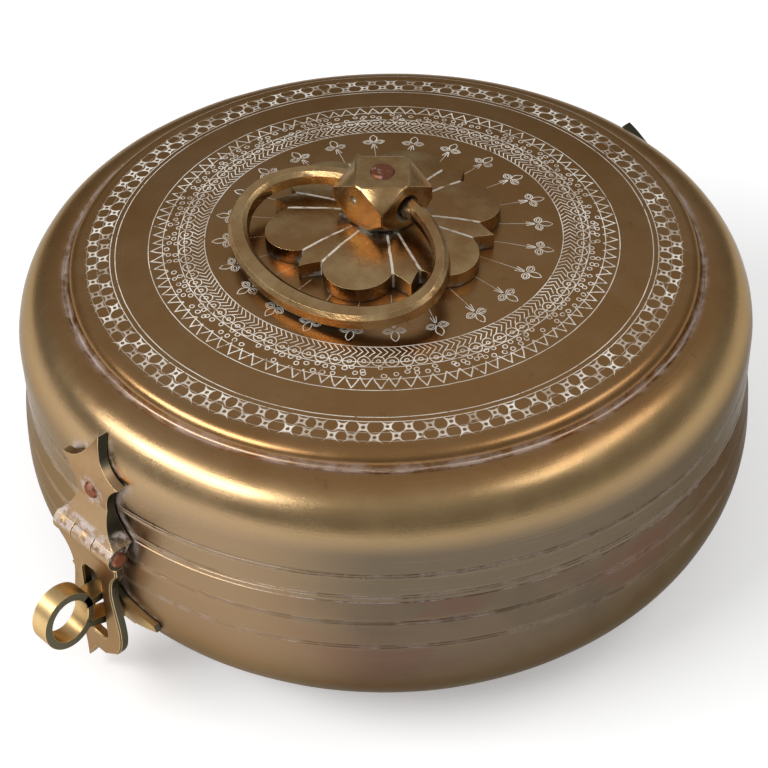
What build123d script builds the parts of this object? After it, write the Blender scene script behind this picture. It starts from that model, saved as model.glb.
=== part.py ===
# Round brass paan box: a turned bowl and a domed, hinged lid with a faceted knob, a loose
# bail handle, a six-petalled rosette, and a hasp that drops over a ring staple.
# Millimetres. The origin is the centre of the foot, +Z is up, and the hasp faces -Y.
from build123d import *
from math import asin, cos, radians, sin, sqrt
import os

os.makedirs("parts", exist_ok=True)

# ---- bowl -------------------------------------------------------------------------------
bowl_radius = 121.0          # widest, where the wall turns into the bottom
bowl_corner = 44.0           # radius of the turn from the wall to the flat foot
bowl_wall = 2.0
seam_height = 64.2           # where bowl and lid meet
rim_inset = 1.7              # both are this much narrower there than the bowl's widest

# ---- lid --------------------------------------------------------------------------------
lid_wall = 2.0
skirt_height = 18.1          # the straight part, from the seam up to the shoulder
skirt_flare = 0.3            # how much it widens on the way up
shoulder_rise = 19.7         # from there up to the step round the top
shoulder_run = 16.1          # how far the shoulder curves in
shoulder_break = 38.0        # degrees up from level where the shoulder's two arcs meet
step_width = 1.6             # the small groove outside the raised top
step_depth = 0.8
disc_edge_radius = 4.4       # rolled edge of the raised top
disc_rise = 4.6              # the top's edge above the shoulder
dome_rise = 7.0              # the centre of the top above its edge

# ---- collar and tray --------------------------------------------------------------------
collar_thickness = 1.8
collar_above_seam = 4.0
collar_below_seam = 7.5
collar_clearance = 0.35      # between the collar and the lid that drops over it
collar_fit = 0.05            # the solder between the collar and the bowl
collar_edge = 0.5
ledge_width = 6.5
ledge_thickness = 1.6
tray_clearance = 3.5         # room for fingertips round the tray's flange
well_clearance = 0.8         # between the tray's well and the ledge round it
tray_sheet = 1.3
tray_depth = 14.0
tray_corner = 9.0
tray_bead = 1.1

# ---- cups -------------------------------------------------------------------------------
cup_count = 6                # in a ring, with one more in the middle
cup_gap = 2.1                # between one rim and the next
cup_floor_margin = 0.1       # from their feet to the edge of the bowl's flat floor
cup_height = 34.0
cup_belly = 21.2             # radius of the turn from the straight wall to the flat foot
cup_wall = 1.4
cup_bead = 1.3               # rolled edge

# ---- rosette ----------------------------------------------------------------------------
petal_count = 6
petal_reach = 38.3
petal_depth = 7.7            # of the notches between petals
petal_half_angle = 22.0
leaf_short = 1.9             # how much less the pointed leaves between the petals reach
leaf_pinch = 3.2             # half angle of a leaf half way out
rosette_thickness = 4.6
rosette_crown = 1.3          # how much its top domes more than the lid
rosette_seat = 0.02          # between the rosette and the lid

# ---- knob -------------------------------------------------------------------------------
knob_width = 22.5
knob_height = 15.6
knob_top_cut = 8.6           # corner facet: reach of its edge on the top, along the diagonal
knob_foot_cut = 10.6         # the same on the underside
knob_waist = 4.6             # height left of each vertical edge between the facets
knob_seat_margin = 0.75      # of the rosette's flat seat, beyond the knob's sides
knob_edge = 0.4              # every edge of the knob is worn this much
bore_radius = 2.56
bore_below_middle = 0.6
countersink_radius = 4.7
countersink_depth = 2.1
dimple_radius = 1.4          # the drill mark on the front face
dimple_across = -1.8
dimple_rise = 2.3
knob_rivet_radius = 2.2
knob_rivet_head_radius = 3.9
knob_rivet_head = 0.7
rove_radius = 7.0
rove_thickness = 1.6

# ---- bail -------------------------------------------------------------------------------
bail_beside_petals = 0.2     # its side bars' middle lines, out from the petals' reach
bail_beyond_petals = 10.7    # and its far bar's, so that the loop drops round the rosette
bail_crest = 1.3             # how far the loop's near side rises past the pivot
bail_bar_far = 6.4           # width of the bar at the far side
bail_bar_near = 4.8          # and at the knob
bail_thickness = 6.0
bail_bevel = 1.2
bail_shift = 4.2             # it lies pushed over to one side of its bore
bail_side_gap = 0.5          # between the knob's face and an arm
bail_shoulder_radius = 2.9
bail_shoulder = 2.6
pintle_depth = 7.6
bail_rest = 0.36             # under its far bar where it lies on the lid

# ---- the flat plates of hasp and hinge, heights above their pins -----------------------------
plate_thickness = 3.0
plate_gap = 0.25             # behind a plate, at the middle of the curved wall
plate_tip_rise = 36.7
plate_neck_rise = 31.1
plate_neck_half = 3.6
plate_ear_rise = 25.9
plate_ear_half = 13.3
plate_waist_rise = 14.1
plate_waist_half = 7.0
barrel_radius = 4.0
barrel_half = 13.7
barrel_clearance = 0.3       # between the knuckles and the bowl's widest
barrel_drop = 3.5            # of the pins below the seam
knuckle_half = 4.75          # the middle knuckle
knuckle_gap = 0.3
pin_radius = 1.9
pin_clearance = 0.06
pin_head_radius = 2.7
pin_head = 0.9
rivet_radius = 1.6
rivet_fit = 0.05
rivet_head_radius = 2.8
rivet_head = 0.8
head_taper = 30
rivet_inner_gap = 0.06       # under a head inside a curved wall
rivet_rise = 18.3            # above the pin
wedge_angle = 63             # where the plate meets its barrel, up from level
flare_hollow = 1.6           # how far the outline's curves bow in between their ends
ear_hollow = 1.9
neck_hollow = 1.3
plate_edge = 0.5

# ---- hasp leaf, heights below its pin --------------------------------------------------------
hasp_thickness = 3.0
hasp_top_inset = 0.5         # its top corners, in from the ends of the barrel
hasp_start_drop = 4.6        # where it starts either side of its knuckle
hasp_top_drop = 7.6
hasp_neck_half = 9.2
hasp_neck_drop = 17.0
hasp_hip_half = 10.6
hasp_hip_drop = 27.0
hasp_tail_half = 8.4
hasp_tail_drop = 45.0        # the shorter corner of the forked tail
hasp_fin_half = 7.8
hasp_fin_drop = 57.0         # the longer one
hasp_fork_half = 2.2
hasp_fork_drop = 49.0
slot_beside_strip = 1.05     # room in the slot either side of the staple's strip
slot_above_ring = 1.6        # and over and under the staple's ring
slot_below_ring = 6.0
slot_corner = 3.0

# ---- staple, heights below the hasp's pin ------------------------------------------------------
strip_width = 6.7
strip_thickness = 2.8
ring_stand = 17.8            # the ring's centre, out from the bowl's widest
ring_drop = 24.7
ring_half_width = 9.6        # outside, along the box's radius
ring_half_height = 10.6
leg_start = 6.4              # where the legs leave the ring, inwards of its centre
upper_leg_drop = 22.5
lower_leg_drop = 30.7        # at the ring
lower_leg_foot_drop = 37.9   # and where it turns inside the wall
leg_fit = 0.1
clench_length = 6.0
back_plate_thickness = 2.0
back_plate_gap = 0.1
back_plate_half = 20.5
back_plate_boss_half = 5.4
back_plate_boss_reach = 10.9     # half the plate's height at its boss
back_plate_shoulder_half = 9.4
back_plate_shoulder_reach = 6.4  # the same at its shoulders
back_plate_end_reach = 1.7       # and at the ends of its tongues
back_plate_drop = 29.2           # of the boss's middle
back_plate_end_drop = 29.7       # and of the ends' middle

# ---- the hinge's leaf on the bowl, heights below its pin -----------------------------------------
base_leaf_thickness = 2.6
base_leaf_top_drop = 4.6
base_leaf_waist_drop = 11.7
base_leaf_ear_drop = 21.7
base_leaf_neck_drop = 26.5
base_leaf_tip_drop = 32.1
base_rivet_drop = 17.7


def polar(radius, angle):
    """A point in plan, by its angle in degrees from +X."""
    return (radius * cos(radians(angle)), radius * sin(radians(angle)))


# ---- worked out from the above ------------------------------------------------------------------
foot_radius = bowl_radius - bowl_corner
rim_radius = bowl_radius - rim_inset
lid_radius = rim_radius + skirt_flare
shoulder_height = seam_height + skirt_height
step_height = shoulder_height + shoulder_rise
step_radius = lid_radius - shoulder_run
break_across = cos(radians(shoulder_break))
break_up = sin(radians(shoulder_break))
cap_radius = (((1 - break_across) * shoulder_rise - break_up * shoulder_run)
              / ((1 - break_across) * (1 - break_up) - break_up * break_across))
shoulder_radius = (shoulder_run - cap_radius * break_across) / (1 - break_across)
disc_radius = step_radius - step_width
disc_edge_height = step_height + disc_rise
dome_edge_radius = disc_radius - disc_edge_radius
dome_height = disc_edge_height + dome_rise
dome_sphere = (dome_edge_radius**2 + dome_rise**2) / (2 * dome_rise)
knob_seat_height = dome_height + rosette_thickness + rosette_crown
knob_top = knob_seat_height + knob_height
bore_height = knob_seat_height + knob_height / 2 - bore_below_middle
collar_radius = rim_radius - lid_wall - collar_clearance
collar_inner = collar_radius - collar_thickness
ledge_radius = collar_inner - ledge_width
ledge_height = seam_height - collar_below_seam + ledge_thickness
collar_foot = seam_height - collar_below_seam
tray_radius = collar_inner - tray_clearance
well_radius = ledge_radius - well_clearance
# The ring of cups fills the flat floor: each touches its neighbours but for the gap, and their
# feet come up to where the floor begins to rise.
cup_spread = sin(radians(180 / cup_count))
cup_ring_radius = ((foot_radius - cup_floor_margin + cup_belly + cup_bead - cup_wall / 2
                    + cup_gap / 2) / (1 + cup_spread))
cup_rim_radius = cup_ring_radius * cup_spread - cup_gap / 2
cup_side_radius = cup_rim_radius - cup_bead + cup_wall / 2
cup_foot_radius = cup_side_radius - cup_belly
cup_angles = [number * 360 / cup_count for number in range(cup_count)]
petal_step = 360 / petal_count
petal_angles = [number * petal_step for number in range(petal_count)]
petal_notch = petal_reach - petal_depth
leaf_reach = petal_reach - leaf_short
leaf_middle = (petal_notch + leaf_reach) / 2
rosette_blank = petal_reach + rosette_crown    # the turned disc that the petals are cut from
knob_corner = knob_width / sqrt(2)
knob_seat_radius = knob_width / 2 + knob_seat_margin
knob_diagonals = [
    Plane(origin=(0, 0, knob_seat_height + knob_height / 2), x_dir=(*polar(1, angle), 0),
          z_dir=(*polar(1, angle - 90), 0))
    for angle in (45, 135, 225, 315)
]
rove_top = dome_height - lid_wall - rivet_inner_gap
bail_gap_half = knob_width / 2 + bail_side_gap
bail_bar_side = (bail_bar_near + bail_bar_far) / 2
bail_half_width = petal_reach + bail_beside_petals
bail_reach = petal_reach + bail_beyond_petals
bail_toe = bail_reach + bail_bar_far / 2 - bail_bevel    # the edge that it lies on
barrel_reach = bowl_radius + barrel_clearance + barrel_radius
barrel_height = seam_height - barrel_drop
plate_tip = barrel_height + plate_tip_rise
plate_neck = barrel_height + plate_neck_rise
plate_ear = barrel_height + plate_ear_rise
plate_waist = barrel_height + plate_waist_rise
rivet_height = barrel_height + rivet_rise
wedge_out = barrel_radius * cos(radians(wedge_angle))
wedge_up = barrel_radius * sin(radians(wedge_angle))
hasp_top_half = barrel_half - hasp_top_inset
slot_half = strip_width / 2 + slot_beside_strip
slot_top_drop = ring_drop - ring_half_height - slot_above_ring
slot_foot_drop = ring_drop + ring_half_height + slot_below_ring
ring_reach = bowl_radius + ring_stand
ring_side = ring_reach - leg_start
ring_height = barrel_height - ring_drop
upper_leg_height = barrel_height - upper_leg_drop
lower_leg_height = barrel_height - lower_leg_drop
lower_leg_foot = barrel_height - lower_leg_foot_drop
leg_turn = -bowl_wall - leg_fit - strip_thickness / 2    # middle of a clenched leg, inside the wall
back_plate_middle = barrel_height - back_plate_drop
back_plate_end = barrel_height - back_plate_end_drop
base_leaf_top = barrel_height - base_leaf_top_drop
base_leaf_waist = barrel_height - base_leaf_waist_drop
base_leaf_ear = barrel_height - base_leaf_ear_drop
base_leaf_neck = barrel_height - base_leaf_neck_drop
base_leaf_tip = barrel_height - base_leaf_tip_drop
base_rivet_height = barrel_height - base_rivet_drop

hasp_side = Plane(origin=(0, 0, 0), x_dir=(0, -1, 0), z_dir=(-1, 0, 0))   # x outwards to -Y
hinge_side = Plane(origin=(0, 0, 0), x_dir=(0, 1, 0), z_dir=(1, 0, 0))    # x outwards to +Y
both_sides = 2 * bowl_radius   # a cut that runs right through the box


def dome_at(radius):
    """Height of the lid's domed top at a radius."""
    return dome_height - dome_sphere + sqrt(dome_sphere**2 - radius**2)


def skirt_at(height):
    """Radius of the lid's skirt at a height."""
    share = (height - seam_height) / (shoulder_height - seam_height)
    return rim_radius + (lid_radius - rim_radius) * share


def bowl_at(height, grow=0.0):
    """Radius of the bowl's rounded outside at a height, grown by a distance."""
    return foot_radius + sqrt((bowl_corner + grow)**2 - (bowl_corner - height)**2)


upper_leg_end = bowl_at(upper_leg_height, leg_turn)
lower_leg_end = bowl_at(lower_leg_foot, leg_turn)
bail_lie = asin((bore_height - dome_at(bail_toe) - bail_thickness / 2 - bail_rest) / bail_toe)
bail_plane = Plane(origin=(0, 0, bore_height), x_dir=(1, 0, 0),
                   z_dir=(0, -sin(bail_lie), cos(bail_lie)))


def bowl_face(grow=0.0):
    """Half section of the bowl's outside, grown by a distance, from the axis to its wall."""
    with BuildSketch() as section:
        with BuildLine():
            foot = Line((0, -grow), (foot_radius, -grow))
            turn = CenterArc((foot_radius, bowl_corner), bowl_corner + grow, 270, 90)
            wall = TangentArc(turn @ 1, (rim_radius + grow, seam_height), tangent=(0, 1))
            Polyline(wall @ 1, (0, seam_height), foot @ 0)
        make_face()
    return section.sketch


def lid_side(grow=0.0):
    """The lid's outline from the seam up to the groove round its top, grown by a distance."""
    with BuildLine() as side:
        Line((rim_radius + grow, seam_height), (lid_radius + grow, shoulder_height))
        CenterArc((lid_radius - shoulder_radius, shoulder_height), shoulder_radius + grow,
                  0, shoulder_break)
        CenterArc((step_radius, step_height - cap_radius), cap_radius + grow,
                  shoulder_break, 90 - shoulder_break)
    return side.line


def side_face(grow=0.0):
    """Half section below the lid's outline as far as the groove, grown by a distance."""
    with BuildSketch() as section:
        with BuildLine():
            add(lid_side(grow))
            Polyline((step_radius, step_height + grow), (0, step_height + grow), (0, seam_height),
                     (rim_radius + grow, seam_height))
        make_face()
    return section.sketch


def lid_face(grow=0.0):
    """Half section of the lid's outside, grown by a distance, from the axis to its skirt."""
    roll_height = disc_edge_height - disc_edge_radius
    groove_height = step_height - step_depth + grow
    with BuildSketch() as section:
        with BuildLine():
            add(lid_side(grow))
            Polyline((step_radius, step_height + grow),
                     (step_radius - step_width / 2, groove_height),
                     (disc_radius + grow, groove_height + step_depth),
                     (disc_radius + grow, roll_height))
            roll = CenterArc((dome_edge_radius, roll_height), disc_edge_radius + grow, 0, 90)
            dome = RadiusArc(roll @ 1, (0, dome_height + grow), -(dome_sphere + grow))
            Polyline(dome @ 1, (0, seam_height), (rim_radius + grow, seam_height))
        make_face()
    return section.sketch


def tray_face(sheet=0.0):
    """Half section of the tray's well and flange, or of its hollow, one sheet further in."""
    foot = ledge_height + tray_sheet - tray_depth + sheet
    well = well_radius - sheet
    with BuildSketch() as section:
        with BuildLine():
            floor = Line((0, foot), (well - tray_corner, foot))
            turn = CenterArc((well - tray_corner, foot + tray_corner), tray_corner, 270, 90)
            Polyline(turn @ 1, (well, ledge_height + tray_sheet), (0, ledge_height + tray_sheet),
                     floor @ 0)
        make_face()
    return section.sketch


def cup_face(wall=0.0):
    """Half section of a cup from its foot, or of its hollow, one wall further in."""
    side_top = cup_height - cup_bead
    with BuildSketch() as section:
        with BuildLine():
            foot = Line((0, wall), (cup_foot_radius, wall))
            turn = CenterArc((cup_foot_radius, cup_belly), cup_belly - wall, 270, 90)
            Polyline(turn @ 1, (cup_side_radius - wall, side_top), (0, side_top), foot @ 0)
        make_face()
    return section.sketch


def plate_outline():
    """Front view of a plate on the lid: barrel at the foot, waist, two ears and a pointed tip."""
    with BuildSketch() as outline:
        with BuildLine():
            edge = Polyline((0, barrel_height), (barrel_half, barrel_height),
                            (barrel_half, barrel_height + barrel_radius))
            flare = ThreePointArc(edge @ 1, ((barrel_half + plate_waist_half) / 2 - flare_hollow,
                                             (barrel_height + barrel_radius + plate_waist) / 2),
                                  (plate_waist_half, plate_waist))
            ear = ThreePointArc(flare @ 1, ((plate_waist_half + plate_ear_half) / 2 - ear_hollow,
                                            (plate_waist + plate_ear) / 2),
                                (plate_ear_half, plate_ear))
            neck = ThreePointArc(ear @ 1, ((plate_neck_half + plate_ear_half) / 2,
                                           (plate_neck + plate_ear) / 2 - neck_hollow),
                                 (plate_neck_half, plate_neck))
            Polyline(neck @ 1, (0, plate_tip), edge @ 0)
        make_face()
        mirror(about=Plane.YZ)
    return outline.sketch


def pin_plane(section_plane):
    """The side view's plane with its origin moved to the hinge or hasp pin."""
    centre = section_plane.x_dir * barrel_reach + Vector(0, 0, barrel_height)
    return Plane(centre, x_dir=section_plane.x_dir, z_dir=section_plane.z_dir)


def flat_plate(section_plane):
    """A plate bent to the lid's profile but flat across, with its two outer knuckles."""
    wall = skirt_at(plate_waist) + plate_gap
    with BuildPart() as plate:
        with BuildSketch(section_plane):
            add(side_face(plate_gap + plate_thickness))
            add(side_face(plate_gap), mode=Mode.SUBTRACT)
            with BuildLine():
                Polyline((wall, plate_waist), (wall + plate_thickness, plate_waist),
                         (barrel_reach + wedge_out, barrel_height + wedge_up),
                         (barrel_reach, barrel_height),
                         (barrel_reach - wedge_up, barrel_height + wedge_out),
                         (wall, seam_height + plate_gap), close=True)
            make_face()
        extrude(amount=barrel_half, both=True)
        with BuildSketch(Plane.XZ):
            add(plate_outline())
        extrude(amount=both_sides, both=True, mode=Mode.INTERSECT)
        with BuildSketch(pin_plane(section_plane)):
            Circle(barrel_radius)
        extrude(amount=barrel_half, both=True)
        with BuildSketch(pin_plane(section_plane)):
            Circle(barrel_radius + knuckle_gap)
        extrude(amount=knuckle_half + knuckle_gap, both=True, mode=Mode.SUBTRACT)
        with BuildSketch(pin_plane(section_plane)):
            Circle(pin_radius + pin_clearance)
        extrude(amount=both_sides, both=True, mode=Mode.SUBTRACT)
        with BuildSketch(Plane.XZ):
            with Locations((0, rivet_height)):
                Circle(rivet_radius + rivet_fit)
        extrude(amount=both_sides, both=True, mode=Mode.SUBTRACT)
    return plate.part


def pin_solid(section_plane):
    """A hinge pin along X with both ends peened over the outer knuckles."""
    middle = section_plane.x_dir * barrel_reach + Vector(0, 0, barrel_height)
    reach = Vector(barrel_half, 0, 0)
    with BuildPart() as pin:
        with BuildSketch(pin_plane(section_plane)):
            Circle(pin_radius)
        extrude(amount=barrel_half, both=True)
        with BuildSketch(Plane(middle + reach, z_dir=(1, 0, 0)),
                         Plane(middle - reach, z_dir=(-1, 0, 0))):
            Circle(pin_head_radius)
        extrude(amount=pin_head, taper=head_taper)
    return pin.part


def rivet_solid(section_plane, height, outer_face, inner_face):
    """A rivet straight out through a wall, with a low head outside and one inside."""
    outwards = section_plane.x_dir
    outside = Plane(outwards * outer_face + Vector(0, 0, height), z_dir=outwards)
    inside = Plane(outwards * inner_face + Vector(0, 0, height), z_dir=-outwards)
    with BuildPart() as rivet:
        with BuildSketch(outside):
            Circle(rivet_radius)
        extrude(amount=inner_face - outer_face)
        with BuildSketch(outside, inside):
            Circle(rivet_head_radius)
        extrude(amount=rivet_head, taper=head_taper)
    return rivet.part


def cup_solid():
    """One round-bottomed cup with a rolled rim, standing on the origin."""
    with BuildPart() as cup:
        with BuildSketch(Plane.XZ):
            add(cup_face())
        revolve(axis=Axis.Z)
        with BuildSketch(Plane.XZ):
            with Locations((cup_rim_radius - cup_bead, cup_height - cup_bead)):
                Circle(cup_bead)
        revolve(axis=Axis.Z)
        with BuildSketch(Plane.XZ):
            add(cup_face(cup_wall))
        revolve(axis=Axis.Z, mode=Mode.SUBTRACT)
    return cup.part


def legs_face(grow=0.0):
    """Side view of the staple's two legs, from its ring in through plate and wall."""
    half = strip_thickness / 2 + grow
    with BuildSketch() as legs:
        with BuildLine():
            Polyline((ring_side, upper_leg_height - half), (ring_side, upper_leg_height + half),
                     (upper_leg_end, upper_leg_height + half),
                     (upper_leg_end, upper_leg_height - half), close=True)
        make_face()
        with BuildLine():
            Polyline((ring_side, lower_leg_height + half), (ring_side, lower_leg_height - half),
                     (lower_leg_end, lower_leg_foot - half), (lower_leg_end, lower_leg_foot + half),
                     close=True)
        make_face()
    return legs.sketch


# ---- the bowl and what is fixed to it ---------------------------------------------------------
with BuildPart() as base_bowl:
    with BuildSketch(Plane.XZ):
        add(bowl_face())
    revolve(axis=Axis.Z)
    with BuildSketch(Plane.XZ):
        add(bowl_face(-bowl_wall))
    revolve(axis=Axis.Z, mode=Mode.SUBTRACT)
    with BuildSketch(hasp_side):
        add(legs_face(leg_fit))
    extrude(amount=strip_width / 2 + leg_fit, both=True, mode=Mode.SUBTRACT)
    with BuildSketch(Plane.XZ):
        with Locations((0, base_rivet_height)):
            Circle(rivet_radius + rivet_fit)
    extrude(amount=-both_sides, mode=Mode.SUBTRACT)
base_bowl.part.label = "base_bowl"
export_step(base_bowl.part, "parts/base_bowl.step")

with BuildPart() as rim_collar:
    with BuildSketch(Plane.XZ):
        add(bowl_face(-bowl_wall - collar_fit))
    revolve(axis=Axis.Z)
    with BuildSketch(Plane.XY.offset(collar_foot)):
        Circle(bowl_radius)
    extrude(amount=collar_below_seam, mode=Mode.INTERSECT)
    with BuildSketch(Plane.XY.offset(seam_height)):
        Circle(collar_radius)
    extrude(amount=collar_above_seam)
    chamfer(rim_collar.edges().sort_by(Axis.Z)[-1], collar_edge)
    with BuildSketch(Plane.XY.offset(ledge_height)):
        Circle(collar_inner)
    extrude(amount=collar_below_seam + collar_above_seam, mode=Mode.SUBTRACT)
    with BuildSketch(Plane.XY.offset(collar_foot)):
        Circle(ledge_radius)
    extrude(amount=ledge_thickness, mode=Mode.SUBTRACT)
rim_collar.part.label = "rim_collar"
export_step(rim_collar.part, "parts/rim_collar.step")

# The staple's backing plate is bent round the wall, a boss in the middle and a tongue each side.
with BuildPart() as staple_plate:
    with BuildSketch(Plane.XZ):
        add(bowl_face(back_plate_gap + back_plate_thickness))
        add(bowl_face(back_plate_gap), mode=Mode.SUBTRACT)
    revolve(axis=Axis.Z)
    with BuildSketch(Plane.XZ):
        with BuildLine():
            Polyline((0, back_plate_middle + back_plate_boss_reach),
                     (back_plate_boss_half, back_plate_middle + back_plate_boss_reach),
                     (back_plate_shoulder_half, back_plate_middle + back_plate_shoulder_reach),
                     (back_plate_half, back_plate_end + back_plate_end_reach),
                     (back_plate_half, back_plate_end - back_plate_end_reach),
                     (back_plate_shoulder_half, back_plate_middle - back_plate_shoulder_reach),
                     (back_plate_boss_half, back_plate_middle - back_plate_boss_reach),
                     (0, back_plate_middle - back_plate_boss_reach), close=True)
        make_face()
        mirror(about=Plane.YZ)
    extrude(amount=both_sides, mode=Mode.INTERSECT)
    with BuildSketch(hasp_side):
        add(legs_face(leg_fit))
    extrude(amount=strip_width / 2 + leg_fit, both=True, mode=Mode.SUBTRACT)
staple_plate.part.label = "staple_plate"
export_step(staple_plate.part, "parts/staple_plate.step")

# The staple is one strip: a ring for the padlock, and two legs clenched inside the wall.
with BuildPart() as staple:
    with BuildSketch(hasp_side):
        add(bowl_face(-bowl_wall - leg_fit))
        add(bowl_face(-bowl_wall - leg_fit - strip_thickness), mode=Mode.SUBTRACT)
        with BuildLine():
            Polyline((lower_leg_end - strip_width, lower_leg_foot - clench_length),
                     (bowl_radius, lower_leg_foot - clench_length),
                     (bowl_radius, lower_leg_foot + strip_thickness),
                     (lower_leg_end - strip_width, lower_leg_foot + strip_thickness), close=True)
            Polyline((lower_leg_end - strip_width, upper_leg_height - strip_thickness / 2),
                     (bowl_radius, upper_leg_height - strip_thickness / 2),
                     (bowl_radius, upper_leg_height + clench_length),
                     (lower_leg_end - strip_width, upper_leg_height + clench_length), close=True)
        make_face(mode=Mode.INTERSECT)
        with Locations((ring_reach, ring_height)):
            Ellipse(ring_half_width, ring_half_height)
            Ellipse(ring_half_width - strip_thickness, ring_half_height - strip_thickness,
                    mode=Mode.SUBTRACT)
        with BuildLine():
            Polyline((ring_side - leg_start, lower_leg_height), (ring_side, lower_leg_height),
                     (ring_side, upper_leg_height), (ring_side - leg_start, upper_leg_height),
                     close=True)
        make_face(mode=Mode.SUBTRACT)
        add(legs_face())
    extrude(amount=strip_width / 2, both=True)
staple.part.label = "staple"
export_step(staple.part, "parts/staple.step")

with BuildPart() as hinge_base_leaf:
    with BuildSketch(hinge_side):
        add(bowl_face(plate_gap + base_leaf_thickness))
        add(bowl_face(plate_gap), mode=Mode.SUBTRACT)
        with BuildLine():
            Polyline((bowl_radius + plate_gap, base_leaf_waist),
                     (bowl_radius + plate_gap + base_leaf_thickness, base_leaf_waist),
                     (barrel_reach, barrel_height - barrel_radius), (barrel_reach, barrel_height),
                     (bowl_radius + plate_gap, barrel_height), close=True)
        make_face()
    extrude(amount=barrel_half, both=True)
    with BuildSketch(Plane.XZ):
        with BuildLine():
            side = Polyline((0, barrel_height), (knuckle_half, barrel_height),
                            (knuckle_half, base_leaf_top), (barrel_half, base_leaf_top))
            flare = ThreePointArc(side @ 1, ((barrel_half + plate_waist_half) / 2 - flare_hollow,
                                             (base_leaf_top + base_leaf_waist) / 2),
                                  (plate_waist_half, base_leaf_waist))
            ear = ThreePointArc(flare @ 1, ((plate_waist_half + plate_ear_half) / 2 - ear_hollow,
                                            (base_leaf_waist + base_leaf_ear) / 2),
                                (plate_ear_half, base_leaf_ear))
            neck = ThreePointArc(ear @ 1, ((plate_neck_half + plate_ear_half) / 2,
                                           (base_leaf_neck + base_leaf_ear) / 2 + neck_hollow),
                                 (plate_neck_half, base_leaf_neck))
            Polyline(neck @ 1, (0, base_leaf_tip), side @ 0)
        make_face()
        mirror(about=Plane.YZ)
    extrude(amount=-both_sides, mode=Mode.INTERSECT)
    with BuildSketch(pin_plane(hinge_side)):
        Circle(barrel_radius)
    extrude(amount=knuckle_half, both=True)
    with BuildSketch(pin_plane(hinge_side)):
        Circle(pin_radius + pin_clearance)
    extrude(amount=both_sides, both=True, mode=Mode.SUBTRACT)
    with BuildSketch(Plane.XZ):
        with Locations((0, base_rivet_height)):
            Circle(rivet_radius + rivet_fit)
    extrude(amount=-both_sides, mode=Mode.SUBTRACT)
hinge_base_leaf.part.label = "hinge_base_leaf"
export_step(hinge_base_leaf.part, "parts/hinge_base_leaf.step")

base_leaf_face = bowl_radius + plate_gap + base_leaf_thickness + rivet_fit
bowl_inside = bowl_at(base_rivet_height - rivet_head_radius, -bowl_wall) - rivet_inner_gap
base_rivet_shape = rivet_solid(hinge_side, base_rivet_height, base_leaf_face, bowl_inside)

with BuildPart() as hinge_base_rivet:
    add(base_rivet_shape)
hinge_base_rivet.part.label = "hinge_base_rivet"
export_step(hinge_base_rivet.part, "parts/hinge_base_rivet.step")

# ---- the loose tray and the cups ------------------------------------------------------------------
with BuildPart() as leaf_tray:
    with BuildSketch(Plane.XZ):
        add(tray_face())
    revolve(axis=Axis.Z)
    with BuildSketch(Plane.XY.offset(ledge_height)):
        Circle(tray_radius)
    extrude(amount=tray_sheet)
    with BuildSketch(Plane.XZ):
        with Locations((tray_radius - tray_bead, ledge_height + tray_bead)):
            Circle(tray_bead)
    revolve(axis=Axis.Z)
    with BuildSketch(Plane.XZ):
        add(tray_face(tray_sheet))
    revolve(axis=Axis.Z, mode=Mode.SUBTRACT)
leaf_tray.part.label = "leaf_tray"
export_step(leaf_tray.part, "parts/leaf_tray.step")

cup = cup_solid()

with BuildPart() as katori_centre:
    with Locations((0, 0, bowl_wall)):
        add(cup)
katori_centre.part.label = "katori_centre"
export_step(katori_centre.part, "parts/katori_centre.step")

with BuildPart() as katori_1:
    with Locations((*polar(cup_ring_radius, cup_angles[0]), bowl_wall)):
        add(cup)
katori_1.part.label = "katori_1"
export_step(katori_1.part, "parts/katori_1.step")

with BuildPart() as katori_2:
    with Locations((*polar(cup_ring_radius, cup_angles[1]), bowl_wall)):
        add(cup)
katori_2.part.label = "katori_2"
export_step(katori_2.part, "parts/katori_2.step")

with BuildPart() as katori_3:
    with Locations((*polar(cup_ring_radius, cup_angles[2]), bowl_wall)):
        add(cup)
katori_3.part.label = "katori_3"
export_step(katori_3.part, "parts/katori_3.step")

with BuildPart() as katori_4:
    with Locations((*polar(cup_ring_radius, cup_angles[3]), bowl_wall)):
        add(cup)
katori_4.part.label = "katori_4"
export_step(katori_4.part, "parts/katori_4.step")

with BuildPart() as katori_5:
    with Locations((*polar(cup_ring_radius, cup_angles[4]), bowl_wall)):
        add(cup)
katori_5.part.label = "katori_5"
export_step(katori_5.part, "parts/katori_5.step")

with BuildPart() as katori_6:
    with Locations((*polar(cup_ring_radius, cup_angles[5]), bowl_wall)):
        add(cup)
katori_6.part.label = "katori_6"
export_step(katori_6.part, "parts/katori_6.step")

# ---- the lid and what is fixed to it --------------------------------------------------------------
with BuildPart() as lid_shell:
    with BuildSketch(Plane.XZ):
        add(lid_face())
    revolve(axis=Axis.Z)
    with BuildSketch(Plane.XZ):
        add(lid_face(-lid_wall))
    revolve(axis=Axis.Z, mode=Mode.SUBTRACT)
    with BuildSketch(Plane.XZ):
        with Locations((0, rivet_height)):
            Circle(rivet_radius + rivet_fit)
    extrude(amount=both_sides, both=True, mode=Mode.SUBTRACT)
    with BuildSketch(Plane.XY.offset(step_height)):
        Circle(knob_rivet_radius + rivet_fit)
    extrude(amount=knob_height, mode=Mode.SUBTRACT)
lid_shell.part.label = "lid_shell"
export_step(lid_shell.part, "parts/lid_shell.step")

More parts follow.
